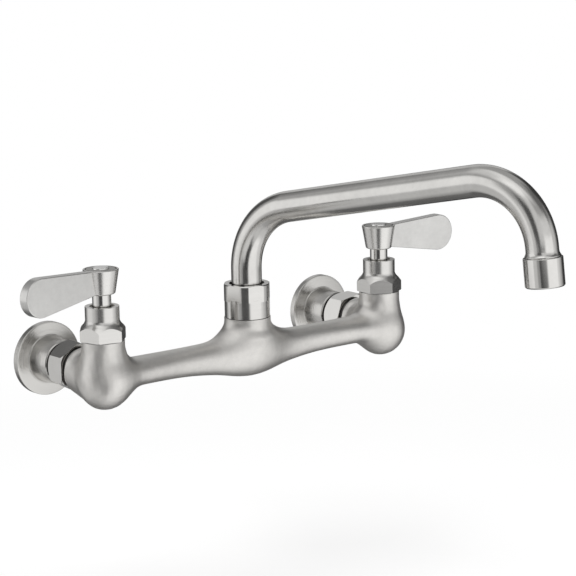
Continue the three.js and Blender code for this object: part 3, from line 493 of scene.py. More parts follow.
class Recipe:
    """The nodes of one material or of the studio."""

    def __init__(self, owner):
        owner.use_nodes = True
        self.tree = owner.node_tree
        self.tree.nodes.clear()

    def node(self, kind, settings, inputs, output=0):
        node = self.tree.nodes.new(kind)
        for name, value in settings.items():
            setattr(node, name, value)
        for name, value in inputs.items():
            if isinstance(value, Wire):
                self.tree.links.new(value.socket, node.inputs[name])
            else:
                node.inputs[name].default_value = value
        return Wire(self, node.outputs[output]) if node.outputs else None

    def place(self):
        return self.node("ShaderNodeTexCoord", {}, {}, "Object")

    def split(self, vector):
        return [self.node("ShaderNodeSeparateXYZ", {}, {"Vector": vector}, axis) for axis in "XYZ"]

    def vector(self, x, y, z):
        return self.node("ShaderNodeCombineXYZ", {}, {"X": x, "Y": y, "Z": z})

    def noise(self, vector, scale, detail=2.0, roughness=0.5):
        inputs = {"Vector": vector, "Scale": scale, "Detail": detail, "Roughness": roughness}
        return self.node("ShaderNodeTexNoise", {}, inputs, "Fac")

    def blend(self, share, first, second):
        inputs = {MIX_SHARE: share, MIX_FIRST: first, MIX_SECOND: second}
        return self.node("ShaderNodeMix", {"data_type": "RGBA"}, inputs, MIX_RESULT)

    def bump(self, height, strength, distance):
        inputs = {"Height": height, "Strength": strength, "Distance": distance}
        return self.node("ShaderNodeBump", {}, inputs, "Normal")

    def ray(self, kind):
        return self.node("ShaderNodeLightPath", {}, {}, f"Is {kind} Ray")

    def finish(self, colour, roughness, metallic, normal):
        """Ends a material in its surface shader."""
        inputs = {"Base Color": colour, "Roughness": roughness, "Metallic": metallic, "Normal": normal}
        shader = self.node("ShaderNodeBsdfPrincipled", {}, inputs)
        self.node("ShaderNodeOutputMaterial", {}, {"Surface": shader})


def new_material(name):
    material = bpy.data.materials.new(name)
    return material, Recipe(material)


def tint(colour, factor):
    return tuple(min(1, channel * factor) for channel in colour) + (1,)


# Scales are noise cells in a metre, and depths are in metres.
CLOUDS = 55.0
PATCHES = 300.0
GRAIN_DEPTH = 0.0002
GRAIN_SHEEN = 0.1
RING_CLOUDS = 60.0
RING_BANDS = 420.0
RING_DEPTH = 0.0001
PLAIN_CLOUDS = 120.0


def grained_steel(name, colour, roughness, grain=0.05, mottling=0.04, grain_scale=2600, speckle=0.0):
    """Steel with a fine, even grain that runs in no direction, as blasted or lightly tumbled."""
    material, recipe = new_material(name)
    place = recipe.place()
    fine = recipe.noise(place, grain_scale, 3.0, 0.6)
    broad = recipe.noise(place, CLOUDS, 3.0, 0.55)
    patch = recipe.noise(place, PATCHES)
    tone = (broad * 0.6 + patch * 0.4 - 0.28) * 2.2 + (fine - 0.5) * (speckle * 40)
    shade = recipe.blend(tone.held(), tint(colour, 0.93 - speckle), tint(colour, 1.04 + speckle))
    level = roughness + (broad - 0.5) * mottling + (fine - 0.5) * GRAIN_SHEEN
    recipe.finish(shade, level, 1.0, recipe.bump(fine, grain, GRAIN_DEPTH))
    return material


def turned_steel(name, colour, roughness, axis, centre, marks=0.05, mirrored=False, scale=3200):
    """Steel turned on a lathe: fine rings round its axis, which stands at the centre given in mm."""
    material, recipe = new_material(name)
    place = recipe.place()
    x, y, z = recipe.split(place)
    if mirrored:
        x = abs(x)
    across = x - centre[0] * MM
    if axis == "Z":
        other, height = y - centre[1] * MM, z
    else:
        other, height = z - centre[1] * MM, y
    radius = (across * across + other * other) ** 0.5
    lathe_place = recipe.vector(radius, height, 0.0)
    rings = recipe.noise(lathe_place, scale, 2.0, 0.6)
    bands = recipe.noise(lathe_place, RING_BANDS)
    broad = recipe.noise(place, RING_CLOUDS)
    tone = (bands * 0.5 + broad * 0.5 - 0.25) * 2
    shade = recipe.blend(tone.held(), tint(colour, 0.94), tint(colour, 1.04))
    level = roughness + (bands - 0.5) * 0.06 + (broad - 0.5) * 0.05
    recipe.finish(shade, level, 1.0, recipe.bump(rings, marks, RING_DEPTH))
    return material


def plain_stuff(name, colour, roughness, metallic=0.0, grain=0.1, grain_scale=1500, spread=0.12):
    """Rubber, nylon, ceramic, brass, or metal painted near black as the shade in the threads' gaps, each
    with a fine grain of its own.
    """
    material, recipe = new_material(name)
    place = recipe.place()
    fine = recipe.noise(place, grain_scale, 3.0, 0.6)
    broad = recipe.noise(place, PLAIN_CLOUDS, 3.0)
    shade = recipe.blend((broad * 2 - 0.5).held(), tint(colour, 1 - spread), tint(colour, 1 + spread / 2))
    level = roughness + (broad - 0.5) * 0.1 + (fine - 0.5) * 0.08
    recipe.finish(shade, level, metallic, recipe.bump(fine, grain, GRAIN_DEPTH))
    return material


CAST_TONE = (0.73, 0.715, 0.69)
TURNED_TONE = (0.7, 0.69, 0.67)
TUBE_TONE = (0.68, 0.67, 0.65)
LEVER_TONE = (0.68, 0.675, 0.66)
HUB_TONE = (0.74, 0.73, 0.71)
INLET_TONE = (0.6, 0.59, 0.57)
DOME_TONE = (0.92, 0.915, 0.9)
VALVE_AXIS = {"axis": "Z", "centre": (VALVE_X, -STANDOFF), "mirrored": True}
SPOUT_AXIS = {"axis": "Z", "centre": (0, -STANDOFF)}
INLET_AXIS = {"axis": "Y", "centre": (VALVE_X, 0), "mirrored": True}

cast_steel = grained_steel("satin_casting", CAST_TONE, 0.41, grain=0.25, grain_scale=2000, speckle=0.035)
tube_steel = grained_steel("spout_tube_steel", TUBE_TONE, 0.155, grain=0.12, mottling=0.03, speckle=0.02)
blade_steel = grained_steel("lever_steel", LEVER_TONE, 0.3, grain=0.1, speckle=0.03)
dome_steel = grained_steel("button_dome", DOME_TONE, 0.25)
outlet_steel = grained_steel("polished_aerator", TURNED_TONE, 0.1, grain=0.02)
valve_steel = turned_steel("turned_valve_steel", TURNED_TONE, 0.25, **VALVE_AXIS)
stem_steel = turned_steel("polished_stem", TURNED_TONE, 0.12, **VALVE_AXIS)
hub_steel = turned_steel("turned_hub_steel", HUB_TONE, 0.27, **VALVE_AXIS)
nut_steel = turned_steel("turned_nut_steel", TURNED_TONE, 0.17, **SPOUT_AXIS)
inlet_steel = turned_steel("turned_inlet_steel", INLET_TONE, 0.17, marks=0.4, scale=6000, **INLET_AXIS)
hex_steel = turned_steel("polished_coupling", TURNED_TONE, 0.16, **INLET_AXIS)
brass = plain_stuff("brass", (0.62, 0.46, 0.2), 0.3, metallic=1.0, grain=0.04)
rubber = plain_stuff("black_rubber", (0.025, 0.025, 0.025), 0.7, grain=0.25)
ceramic = plain_stuff("ceramic", (0.82, 0.8, 0.76), 0.25, grain=0.02, spread=0.04)
nylon = plain_stuff("nylon", (0.75, 0.73, 0.68), 0.5, grain=0.08, spread=0.06)
button_ring = plain_stuff("button_ring", (0.15, 0.148, 0.14), 0.3, grain=0.05)
# Painted shade: the threads in the gaps behind the collars and under the nuts, and the union tails, are
# painted near black for the shade that falls there.
thread_shade_steel = plain_stuff("thread_painted_shade", (0.1, 0.098, 0.095), 0.4, metallic=1.0, grain=0.05)


def paint(piece, *materials):
    piece.data.materials.clear()
    for material in materials:
        piece.data.materials.append(material)


def hand_over(piece, body, node):
    """Lets the piece ride on its body in place of the solid it stands for."""
    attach(piece, body)
    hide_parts(node)


# ---- camera ------------------------------------------------------------------------------------------
CAMERA_DISTANCE = 1385.97
CAMERA_YAW = math.radians(-38.55)
CAMERA_PITCH = math.radians(11.13)
CAMERA_ROLL = math.radians(-1.09)
CAMERA_TARGET = Vector((30.66, -STANDOFF, 31.1))
FOCAL_LENGTH = 146.83
SENSOR_WIDTH = 36
NEAREST = 50
FARTHEST = 20000


def make_camera():
    ahead = Vector((
        -math.sin(CAMERA_YAW) * math.cos(CAMERA_PITCH),
        math.cos(CAMERA_YAW) * math.cos(CAMERA_PITCH),
        -math.sin(CAMERA_PITCH),
    ))
    level = Vector((math.cos(CAMERA_YAW), math.sin(CAMERA_YAW), 0))
    upright = level.cross(ahead)
    right = level * math.cos(CAMERA_ROLL) + upright * math.sin(CAMERA_ROLL)
    up = upright * math.cos(CAMERA_ROLL) - level * math.sin(CAMERA_ROLL)
    place = Matrix((right, up, -ahead)).transposed().to_4x4()
    place.translation = (CAMERA_TARGET - ahead * CAMERA_DISTANCE) * MM
    camera = bpy.data.objects.new("camera", bpy.data.cameras.new("camera"))
    camera.data.lens = FOCAL_LENGTH
    camera.data.sensor_width = SENSOR_WIDTH
    camera.data.clip_start = NEAREST * MM
    camera.data.clip_end = FARTHEST * MM
    camera.matrix_world = place
    bpy.context.scene.collection.objects.link(camera)
    bpy.context.scene.camera = camera


# ---- studio ------------------------------------------------------------------------------------------
# What bare metal sees of the studio: soft boxes, dark flags, the pale backdrop and the pale floor, each as
# (degrees to the right of the way to the camera, degrees above level, half width, half height, feather,
# brightness). Each lies over those before it, and ROOM is the brightness between them.
SOFT_BOXES = (
    (-150, -46, 45, 26, 16, 0.14),
    (155, -46, 40, 26, 16, 0.12),
    (-45, 80, 95, 24, 20, 0.95),
    (-30, 57, 36, 13, 12, 1.15),
    (-88, 56, 30, 12, 16, 0.78),
    (-85, -32, 34, 20, 12, 0.62),
    (-85, 8, 23, 22, 7, 1.02),
    (-52, -18, 10, 28, 7, 0.66),
    (50, -78, 85, 14, 16, 0.72),
    (-12, -56, 36, 11, 8, 0.7),
    (98, 40, 30, 22, 12, 0.17),
    (98, -40, 24, 28, 14, 0.8),
    (94, 7, 16, 14, 12, 0.66),
    (112, 8, 6, 22, 8, 0.36),
    (82, -26, 10, 26, 8, 0.86),
    (47, -27, 31, 41, 7, 1.1),
    (47, 24, 34, 10, 9, 0.8),
    (2, 25, 15, 26, 8, 0.72),
    (-8, -26, 19, 22, 5, 0.07),
    (-30, 13, 14, 18, 6, 0.1),
    (-30, -31, 14, 12, 4, 0.8),
    (150, 0, 33, 44, 9, 0.05),
    (-143, 4, 19, 34, 9, 0.09),
    (172, 27, 10, 15, 8, 0.6),
    (-170, 27, 12, 15, 8, 0.6),
)
ROOM = 0.42
PLAIN = 0.5            # the even light on everything, apart from what metal mirrors

FLOOR_HEIGHT = -150
FLOOR_RADIUS = 620
FLOOR_FADE_START = 0.6     # shares of the floor's radius
FLOOR_FADE_LENGTH = 0.38
PAPER_TONE = (0.5, 0.5, 0.5, 1)
PAPER_LIFT = 0.52          # brings the paper up to white for the camera, and leaves its shadow
WHITE = (1, 1, 1, 1)

LAMP_PLACE = Vector((-200, -300, 1400))
LAMP_TARGET = Vector((0, -60, 0))
LAMP_SIZE = 1200
LAMP_POWER = 16


def make_studio():
    world = bpy.data.worlds.new("studio")
    bpy.context.scene.world = world
    recipe = Recipe(world)
    way = recipe.node("ShaderNodeTexCoord", {}, {}, "Generated")
    x, y, z = recipe.split(way)
    toward = (math.sin(CAMERA_YAW), -math.cos(CAMERA_YAW))
    right = (math.cos(CAMERA_YAW), math.sin(CAMERA_YAW))
    ahead = x * toward[0] + y * toward[1]
    beside = x * right[0] + y * right[1]
    bearing = beside.sum("ARCTAN2", beside, ahead) * math.degrees(1)
    rise = z.sum("ARCSINE", z) * math.degrees(1)
    level = ROOM
    for box_bearing, box_rise, half_width, half_height, feather, brightness in SOFT_BOXES:
        beside_it = ((half_width - abs(bearing - box_bearing)) / feather + 0.5).held()
        above_it = ((half_height - abs(rise - box_rise)) / feather + 0.5).held()
        level = level + beside_it * above_it * (brightness - level)
    seen = (recipe.ray("Camera") + recipe.ray("Transmission")).held()
    glossy = recipe.ray("Glossy")
    strength = seen + (1 - seen) * (glossy * level + (1 - glossy) * PLAIN)
    light = recipe.node("ShaderNodeBackground", {}, {"Color": WHITE, "Strength": strength})
    recipe.node("ShaderNodeOutputWorld", {}, {"Surface": light})
    world.cycles.sampling_method = "NONE"


def make_floor():
    """A round sheet of pale paper that fades into the backdrop."""
    bpy.ops.mesh.primitive_circle_add(
        vertices=FINE_ROUND,
        radius=FLOOR_RADIUS * MM,
        fill_type="NGON",
        location=(0, -STANDOFF * MM, FLOOR_HEIGHT * MM),
    )
    floor = bpy.context.object
    floor.name = "floor"
    material, recipe = new_material("floor_paper")
    distance = recipe.node("ShaderNodeVectorMath", {"operation": "LENGTH"}, {0: recipe.place()}, "Value")
    fade_start = FLOOR_RADIUS * FLOOR_FADE_START * MM
    fade_length = FLOOR_RADIUS * FLOOR_FADE_LENGTH * MM
    edge = ((distance - fade_start) / fade_length).held()
    seen = (recipe.ray("Camera") + recipe.ray("Transmission")).held()
    paper = recipe.node("ShaderNodeBsdfDiffuse", {}, {"Color": PAPER_TONE})
    glow = recipe.node("ShaderNodeEmission", {}, {"Strength": seen * PAPER_LIFT})
    lifted = recipe.node("ShaderNodeAddShader", {}, {0: paper, 1: glow})
    backdrop = recipe.node("ShaderNodeEmission", {}, {"Strength": seen + (1 - seen) * PLAIN})
    surface = recipe.node("ShaderNodeMixShader", {}, {0: edge, 1: lifted, 2: backdrop})
    recipe.node("ShaderNodeOutputMaterial", {}, {"Surface": surface})
    paint(floor, material)
    floor.visible_glossy = False


def make_lamp():
    lamp = bpy.data.objects.new("top_light", bpy.data.lights.new("top_light", "AREA"))
    lamp.data.shape = "RECTANGLE"
    lamp.data.size = LAMP_SIZE * MM
    lamp.data.size_y = LAMP_SIZE * MM
    lamp.data.energy = LAMP_POWER
    lamp.location = LAMP_PLACE * MM
    lamp.rotation_euler = (LAMP_TARGET - LAMP_PLACE).to_track_quat("-Z", "Y").to_euler()
    lamp.visible_glossy = False
    bpy.context.scene.collection.objects.link(lamp)


# ---- casting -----------------------------------------------------------------------------------------


def ring(bore, radius, low, high):
    return turned("ring", [(bore, low), (radius, low), (radius, high), (bore, high)])


def collar_swell(side):
    """The inlet collar's swell down into the valve's bulb."""
    swell = turned("swell", [
        (SWELL_BORE, -RUN_ON),
        (SWELL_RADIUS, -RUN_ON),
        (SWELL_RADIUS, 0),
        (SWELL_ROOT_RADIUS, SWELL_LENGTH),
        (SWELL_BORE, SWELL_LENGTH),
    ])
    place = Matrix.Translation((side["x"] * MM, -COLLAR_BACK * MM, -SWELL_DROP * MM))
    return lay(swell, place @ Matrix.Rotation(math.radians(90 + SWELL_SLOPE), 4, "X"))


def tower_skirt():
    """The soft foot of the spout tower."""
    skirt = turned("skirt", [
        (SPOUT_BORE_RADIUS + SKIRT_BORE_CLEARANCE, SPOUT_TOWER_TOP + RUN_ON),
        (SPOUT_TOWER_RADIUS - SKIRT_INSET, SPOUT_TOWER_TOP + RUN_ON),
        *[(SPOUT_TOWER_RADIUS + out, SPOUT_TOWER_TOP - drop) for drop, out in TOWER_SKIRT],
        (SPOUT_BORE_RADIUS + SKIRT_BORE_CLEARANCE, SPOUT_TOWER_TOP - TOWER_SKIRT[-1][0]),
    ])
    lay(skirt, Matrix.Diagonal((1, SKIRT_DEPTH, 1, 1)))
    return lay(skirt, at_spout())


def facing_over(x, top):
    """The block that faces off a tower's top."""
    low = (x - FACING_HALF_WIDTH, FACING_FRONT, top)
    return block(low, (x + FACING_HALF_WIDTH, FACING_BACK, FACING_TOP))


def facing_behind(x):
    """The block that faces off a collar's end."""
    low = (x - FACING_HALF_WIDTH, -COLLAR_BACK - COLLAR_FACED_OFF, -COLLAR_FACING_HALF_HEIGHT)
    return block(low, (x + FACING_HALF_WIDTH, 0, COLLAR_FACING_HALF_HEIGHT))


def casting_skin():
    """The solid's own shape with its bosses run on, remeshed, rubbed smooth and faced off."""
    skin = bpy.data.objects.new("casting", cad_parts["valve_body"].data.copy())
    bpy.context.scene.collection.objects.link(skin)
    pick(skin)
    bpy.ops.object.mode_set(mode="EDIT")
    close_up()
    bosses = []
    facings = [facing_over(0, SPOUT_TOWER_TOP)]
    for side in SIDES:
        tower = ring(CHAMBER_RADIUS, TOWER_RADIUS, TOWER_TOP - BOSS_ROOT, TOWER_TOP + RUN_ON)
        collar = ring(INLET_BORE_RADIUS, COLLAR_RADIUS, COLLAR_BACK - RUN_ON, COLLAR_BACK + BOSS_ROOT)
        bosses += [lay(tower, at_valve(side)), lay(collar, along_inlet(side)), collar_swell(side)]
        facings += [facing_over(side["x"], TOWER_TOP), facing_behind(side["x"])]
    spout_boss_span = (SPOUT_TOWER_TOP - BOSS_ROOT, SPOUT_TOWER_TOP + RUN_ON)
    spout_boss = ring(SPOUT_BORE_RADIUS, SPOUT_TOWER_RADIUS, *spout_boss_span)
    join(skin, *bosses, lay(spout_boss, at_spout()), tower_skirt())
    remesh = skin.modifiers.new("skin", "REMESH")
    remesh.mode = "VOXEL"
    remesh.voxel_size = SKIN_VOXEL * MM
    rub = skin.modifiers.new("rub", "SMOOTH")
    rub.factor = RUB_FACTOR
    rub.iterations = RUB_ROUNDS
    apply_all(skin)
    combine(skin, join(*facings), "DIFFERENCE")
    return skin


def thread_profile(radius, start, end):
    """Crests and roots of a thread between two heights."""
    points = []
    step = THREAD_PITCH / 2
    count = int((end - start) / step)
    for i in range(count + 1):
        depth = THREAD_DEPTH if i % 2 else 0
        points.append((radius - depth, start + i * (end - start) / count))
    return points


def nipple():
    """The threaded end behind an inlet collar."""
    return turned("nipple", [
        (INLET_BORE_RADIUS, COLLAR_BACK + PAST),
        (NIPPLE_RADIUS - THREAD_DEPTH, COLLAR_BACK + PAST),
        *reversed(thread_profile(NIPPLE_RADIUS, NIPPLE_BACK + THREAD_LEAD, COLLAR_BACK)),
        (NIPPLE_RADIUS - THREAD_DEPTH, NIPPLE_BACK),
        (INLET_BORE_RADIUS, NIPPLE_BACK),
    ])


def spigot():
    """The threaded spigot over the spout tower."""
    piece = turned("spigot", [
        (SPOUT_BORE_RADIUS, SPOUT_TOWER_TOP - PAST),
        (SPIGOT_THREAD_RADIUS - THREAD_DEPTH, SPOUT_TOWER_TOP - PAST),
        *thread_profile(SPIGOT_THREAD_RADIUS, SPOUT_TOWER_TOP, SPIGOT_TOP - THREAD_LEAD),
        (SPIGOT_THREAD_RADIUS - THREAD_DEPTH, SPIGOT_TOP),
        (SPOUT_BORE_RADIUS, SPIGOT_TOP),
    ])
    return lay(piece, at_spout())


def is_in_thread_shade(face):
    """True for a face behind a collar or on the spigot over the spout tower; these faces are painted near
    black as the shade of the gap they sit in.
    """
    behind_collar = face.center.y > -(COLLAR_BACK - TOUCH) * MM
    off_axis = math.hypot(face.center.x, face.center.y + STANDOFF * MM)
    over_tower = face.center.z > (SPOUT_TOWER_TOP + TOUCH) * MM
    return behind_collar or (over_tower and off_axis < (SPIGOT_THREAD_RADIUS + ROUND_TOUCH) * MM)


def make_casting():
    skin = casting_skin()
    bevel(skin, CASTING_BEVEL, angle=50)
    join(skin, spigot(), *[piece for side, piece in on_each_side(nipple(), "nipple", along_inlet)])
    # The threaded faces take the near-black steel, painted shade for the gaps round the threads.
    paint(skin, cast_steel, thread_shade_steel)
    for face in skin.data.polygons:
        if is_in_thread_shade(face):
            face.material_index = 1
    smooth(skin, 40)
    hand_over(skin, "casting", "valve_body")


# ---- inlets ------------------------------------------------------------------------------------------


def make_flanges():
    lip_bottom = FLANGE_THICKNESS - FLANGE_LIP_DROP
    neck_bottom = FLANGE_THICKNESS + FLANGE_DISH
    flange = turned("flange", [
        (SOCKET_RADIUS, 0),
        (FLANGE_RADIUS - FLANGE_BACK_CHAMFER, 0),
        (FLANGE_RADIUS, FLANGE_BACK_CHAMFER),
        *arc((FLANGE_RADIUS - FLANGE_EDGE, lip_bottom - FLANGE_EDGE), FLANGE_EDGE, 0, 72, 5),
        (FLANGE_RADIUS - FLANGE_LIP, FLANGE_THICKNESS),
        (NECK_BASE_RADIUS + NECK_BEAD, neck_bottom - NECK_BEAD_FOOT),
        *arc((NECK_BASE_RADIUS + NECK_BEAD / 2, neck_bottom), NECK_BEAD / 2, 0, 150, 6),
        (NECK_BASE_RADIUS, neck_bottom + NECK_BEAD_SHOULDER),
        (NECK_TIP_RADIUS, NECK_END - NECK_TIP_CHAMFER),
        (NECK_TIP_RADIUS - NECK_TIP_CHAMFER, NECK_END),
        (TAIL_RADIUS + GAP, NECK_END),
        (TAIL_RADIUS + GAP, SOCKET_DEPTH),
        (SOCKET_RADIUS, SOCKET_DEPTH),
    ], FINE_ROUND)
    bevel(flange, FLANGE_BEVEL)
    paint(flange, inlet_steel)
    for side, piece in on_each_side(flange, "flange", along_inlet):
        smooth(piece)
        hand_over(piece, "casting", f"{side['name']}_inlet_flange")


def make_coupling_nuts():
    corner = COUPLING_FLATS / math.sqrt(3)
    nut = turned("coupling", [
        (0, COUPLING_BACK),
        (COUPLING_FLATS / 2 - COUPLING_BACK_INSET, COUPLING_BACK),
        (corner, COUPLING_BACK + COUPLING_BACK_CHAMFER),
        (corner, COUPLING_FRONT - COUPLING_FRONT_CHAMFER),
        (corner - COUPLING_FRONT_INSET, COUPLING_FRONT),
        (0, COUPLING_FRONT),
    ])
    combine(nut, hexagon(COUPLING_FLATS, COUPLING_BACK - PAST, COUPLING_FRONT + PAST, 90), "INTERSECT")
    thread = NIPPLE_RADIUS + GAP
    mouth = COUPLING_MOUTH_CHAMFER + COUPLING_MOUTH_OVER
    bore = turned("bore", [
        (0, COUPLING_BACK - PAST),
        (TAIL_RADIUS + GAP, COUPLING_BACK - PAST),
        (TAIL_RADIUS + GAP, COUPLING_BACK + COUPLING_BACK_WALL),
        (thread, COUPLING_BACK + COUPLING_BACK_WALL),
        (thread, COUPLING_FRONT - COUPLING_MOUTH_CHAMFER),
        (thread + mouth, COUPLING_FRONT + COUPLING_MOUTH_OVER),
        (thread + mouth, COUPLING_FRONT + PAST),
        (0, COUPLING_FRONT + PAST),
    ])
    combine(nut, bore, "DIFFERENCE")
    bevel(nut, COUPLING_BEVEL, 3)
    paint(nut, hex_steel)
    for side, piece in on_each_side(nut, "coupling", as_tightened):
        smooth(piece)
        hand_over(piece, "casting", f"{side['name']}_coupling_nut")


# ---- valves ------------------------------------------------------------------------------------------


def make_bonnet(side):
    """The bonnet, modelled for each side because its hexagon came to rest another way."""
    bonnet = turned(f"{side['name']}_bonnet_hex", [
        (0, HEX_BOTTOM),
        (BONNET_CORNER_RADIUS - HEX_FOOT_CHAMFER, HEX_BOTTOM),
        (BONNET_CORNER_RADIUS, HEX_BOTTOM + HEX_FOOT_CHAMFER),
        *[(BARREL_RADIUS + out, HEX_TOP + rise) for out, rise in BONNET_FLARE],
        (BARREL_RADIUS, BONNET_TOP),
        (0, BONNET_TOP),
    ])
    flats = BONNET_CORNER_RADIUS * math.sqrt(3)
    combine(bonnet, hexagon(flats, HEX_BOTTOM - PAST, BONNET_TOP + PAST, side["hex"]), "INTERSECT")
    groove_top = TOWER_TOP - GAP
    groove_bottom = groove_top - BONNET_GROOVE
    plug_radius = CHAMBER_RADIUS - GAP
    plug = turned("plug", [
        (0, BONNET_BOTTOM),
        (plug_radius, BONNET_BOTTOM),
        (plug_radius, groove_bottom),
        (plug_radius - BONNET_GROOVE_DEPTH, groove_bottom),
        (plug_radius - BONNET_GROOVE_DEPTH, groove_top),
        (plug_radius, groove_top),
        (plug_radius, HEX_BOTTOM + PAST),
        (0, HEX_BOTTOM + PAST),
    ])
    combine(bonnet, plug, "UNION")
    bore = turned("bore", [
        (0, BONNET_BOTTOM - PAST),
        (STEM_RADIUS + GAP, BONNET_BOTTOM - PAST),
        (STEM_RADIUS + GAP, BONNET_TOP - RECESS_DEPTH),
        (RECESS_RADIUS, BONNET_TOP - RECESS_DEPTH),
        (RECESS_RADIUS, BONNET_TOP + PAST),
        (0, BONNET_TOP + PAST),
    ])
    combine(bonnet, bore, "DIFFERENCE")
    bevel(bonnet, BONNET_BEVEL)
    lay(bonnet, at_valve(side))
    paint(bonnet, valve_steel)
    smooth(bonnet)
    hand_over(bonnet, "casting", f"{side['name']}_bonnet")


def make_stems():
    groove_radius = STEM_RADIUS - STEM_GROOVE_DEPTH
    stem = turned("spindle", [
        (0, STEM_FOOT_BOTTOM),
        (STEM_FOOT_RADIUS, STEM_FOOT_BOTTOM),
        (STEM_FOOT_RADIUS, STEM_FOOT_TOP),
        (STEM_RADIUS, STEM_FOOT_TOP),
        (STEM_RADIUS, STEM_RING_HEIGHT - STEM_GROOVE),
        (groove_radius, STEM_RING_HEIGHT - STEM_GROOVE),
        (groove_radius, STEM_RING_HEIGHT + STEM_GROOVE),
        (STEM_RADIUS, STEM_RING_HEIGHT + STEM_GROOVE),
        (STEM_RADIUS, HUB_BOTTOM - GAP),
        (DRIVE_RADIUS, HUB_BOTTOM - GAP),
        (DRIVE_RADIUS, DRIVE_TOP),
        (SCREW_RADIUS + GAP, DRIVE_TOP),
        (SCREW_RADIUS + GAP, DRIVE_TOP - SCREW_HOLE_DEPTH),
        (0, DRIVE_TOP - SCREW_HOLE_DEPTH),
    ], SMALL_ROUND)
    bevel(stem, STEM_BEVEL)
    paint(stem, stem_steel)
    for side, piece in on_each_side(stem, "spindle", with_lever):
        smooth(piece)
        hand_over(piece, side["body"], f"{side['name']}_stem")


def blade():
    """The flat blade: a round tip drawn out to the hub, filled, thickened and rounded."""
    tip_x = LEVER_LENGTH - LEVER_TIP_RADIUS
    tip_z = HUB_TOP - LEVER_TIP_DROP

    def tangent(root_z, edge):
        dx, dz = tip_x, tip_z - root_z
        return math.atan2(dz, dx) + edge * (math.asin(LEVER_TIP_RADIUS / math.hypot(dx, dz)) + math.pi / 2)

    upper = tangent(HUB_TOP - LEVER_ROOT_TOP, 1)
    lower = tangent(HUB_TOP - LEVER_ROOT_BOTTOM, -1)
    outline = [(0, HUB_TOP - LEVER_ROOT_BOTTOM)]
    for i in range(BLADE_TIP_STEPS + 1):
        angle = lower + (upper - lower) * i / BLADE_TIP_STEPS
        across, along = math.sin(angle), math.cos(angle)
        outline.append((tip_x + LEVER_TIP_RADIUS * along, tip_z + LEVER_TIP_RADIUS * across))
    outline.append((0, HUB_TOP - LEVER_ROOT_TOP))
    outline.append(outline[0])
    points = [(x * MM, -LEVER_THICKNESS / 2 * MM, z * MM) for x, z in outline]
    piece = single_vertex("blade", points[0])
    draw_on(points)
    bpy.ops.mesh.select_all(action="SELECT")
    bpy.ops.mesh.remove_doubles(threshold=WELD)
    bpy.ops.mesh.edge_face_add()
    bpy.ops.mesh.extrude_region_move(TRANSFORM_OT_translate={"value": (0, LEVER_THICKNESS * MM, 0)})
    close_up()
    bevel(piece, BLADE_BEVEL, 4, 50)
    return piece


def is_hub(face):
    """True for a face of the hub's turned side, top or foot, on a lever that stands on Z."""
    if face.center.xy.length >= (HUB_TOP_RADIUS + 2 * ROUND_TOUCH) * MM:
        return False
    outward = face.center.xy.normalized().dot(face.normal.xy.normalized())
    return outward > LOOKS_OUT or abs(face.normal.z) > LOOKS_UP


def make_levers():
    foot_round = (HUB_BOTTOM_RADIUS - HUB_FOOT_ROUND, HUB_BOTTOM + HUB_FOOT_ROUND)
    top_round = (HUB_TOP_RADIUS - HUB_TOP_ROUND, HUB_TOP - HUB_TOP_ROUND)
    lever = turned("lever", [
        (0, HUB_BOTTOM),
        (HUB_BOTTOM_RADIUS - HUB_FOOT_FACE, HUB_BOTTOM),
        *arc(foot_round, HUB_FOOT_ROUND, -70, -8, 5),
        (HUB_TOP_RADIUS, HUB_TOP - HUB_TOP_SHOULDER),
        *arc(top_round, HUB_TOP_ROUND, 10, 80, 4),
        (0, HUB_TOP),
    ])
    combine(lever, blade(), "UNION")
    button_seat = HUB_TOP - BUTTON_SEAT
    socket = turned("socket", [
        (0, HUB_BOTTOM - PAST),
        (DRIVE_RADIUS + DRIVE_CLEARANCE, HUB_BOTTOM - PAST),
        (DRIVE_RADIUS + DRIVE_CLEARANCE, DRIVE_TOP + GAP),
        (SCREW_RADIUS + GAP, DRIVE_TOP + GAP),
        (SCREW_RADIUS + GAP, SCREW_SEAT),
        (SCREW_HEAD_RADIUS + GAP, SCREW_SEAT),
        (SCREW_HEAD_RADIUS + GAP, button_seat),
        (BUTTON_RADIUS + BUTTON_CLEARANCE, button_seat),
        (BUTTON_RADIUS + BUTTON_CLEARANCE, HUB_TOP + 3 * PAST),
        (0, HUB_TOP + 3 * PAST),
    ])
    combine(lever, socket, "DIFFERENCE")
    bevel(lever, LEVER_BEVEL, angle=35)
    paint(lever, blade_steel, hub_steel)
    for face in lever.data.polygons:
        if is_hub(face):
            face.material_index = 1
    for side, piece in on_each_side(lever, "lever", with_lever):
        smooth(piece)
        hand_over(piece, side["body"], f"{side['name']}_handle")


def make_buttons():
    """A dark ring with a bright domed centre."""
    under = HUB_TOP - BUTTON_SEAT + GAP
    button = turned("button", [
        (0, BUTTON_PLUG_BOTTOM),
        (BUTTON_PLUG_RADIUS, BUTTON_PLUG_BOTTOM),
        (BUTTON_PLUG_RADIUS, under),
        (BUTTON_RADIUS, under),
        (BUTTON_RADIUS, HUB_TOP - BUTTON_EDGE),
        (BUTTON_RADIUS - BUTTON_EDGE, HUB_TOP),
        *[(BUTTON_DOME_RADIUS + out, HUB_TOP + rise) for out, rise in BUTTON_DOME],
        (0, HUB_TOP + BUTTON_DOME_RISE),
    ], SMALL_ROUND)
    paint(button, button_ring, dome_steel)
    for face in button.data.polygons:
        above_ring = face.center.z > (HUB_TOP + TOUCH) * MM
        if above_ring and face.center.xy.length < BUTTON_DOME_RADIUS * MM:
            face.material_index = 1
    for side, piece in on_each_side(button, "button", with_lever):
        smooth(piece, 28)
        hand_over(piece, side["body"], f"{side['name']}_index_button")


# ---- spout -------------------------------------------------------------------------------------------
swing = math.radians(SPOUT_SWING)
arm_rise = math.radians(ARM_RISE)
tip_lean = math.radians(TIP_LEAN)
reach_way = Vector((math.cos(swing), -math.sin(swing), 0))
up_way = Vector((0, 0, 1))
hinge_way = reach_way.cross(up_way)
down_way = reach_way * math.sin(tip_lean) - up_way * math.cos(tip_lean)


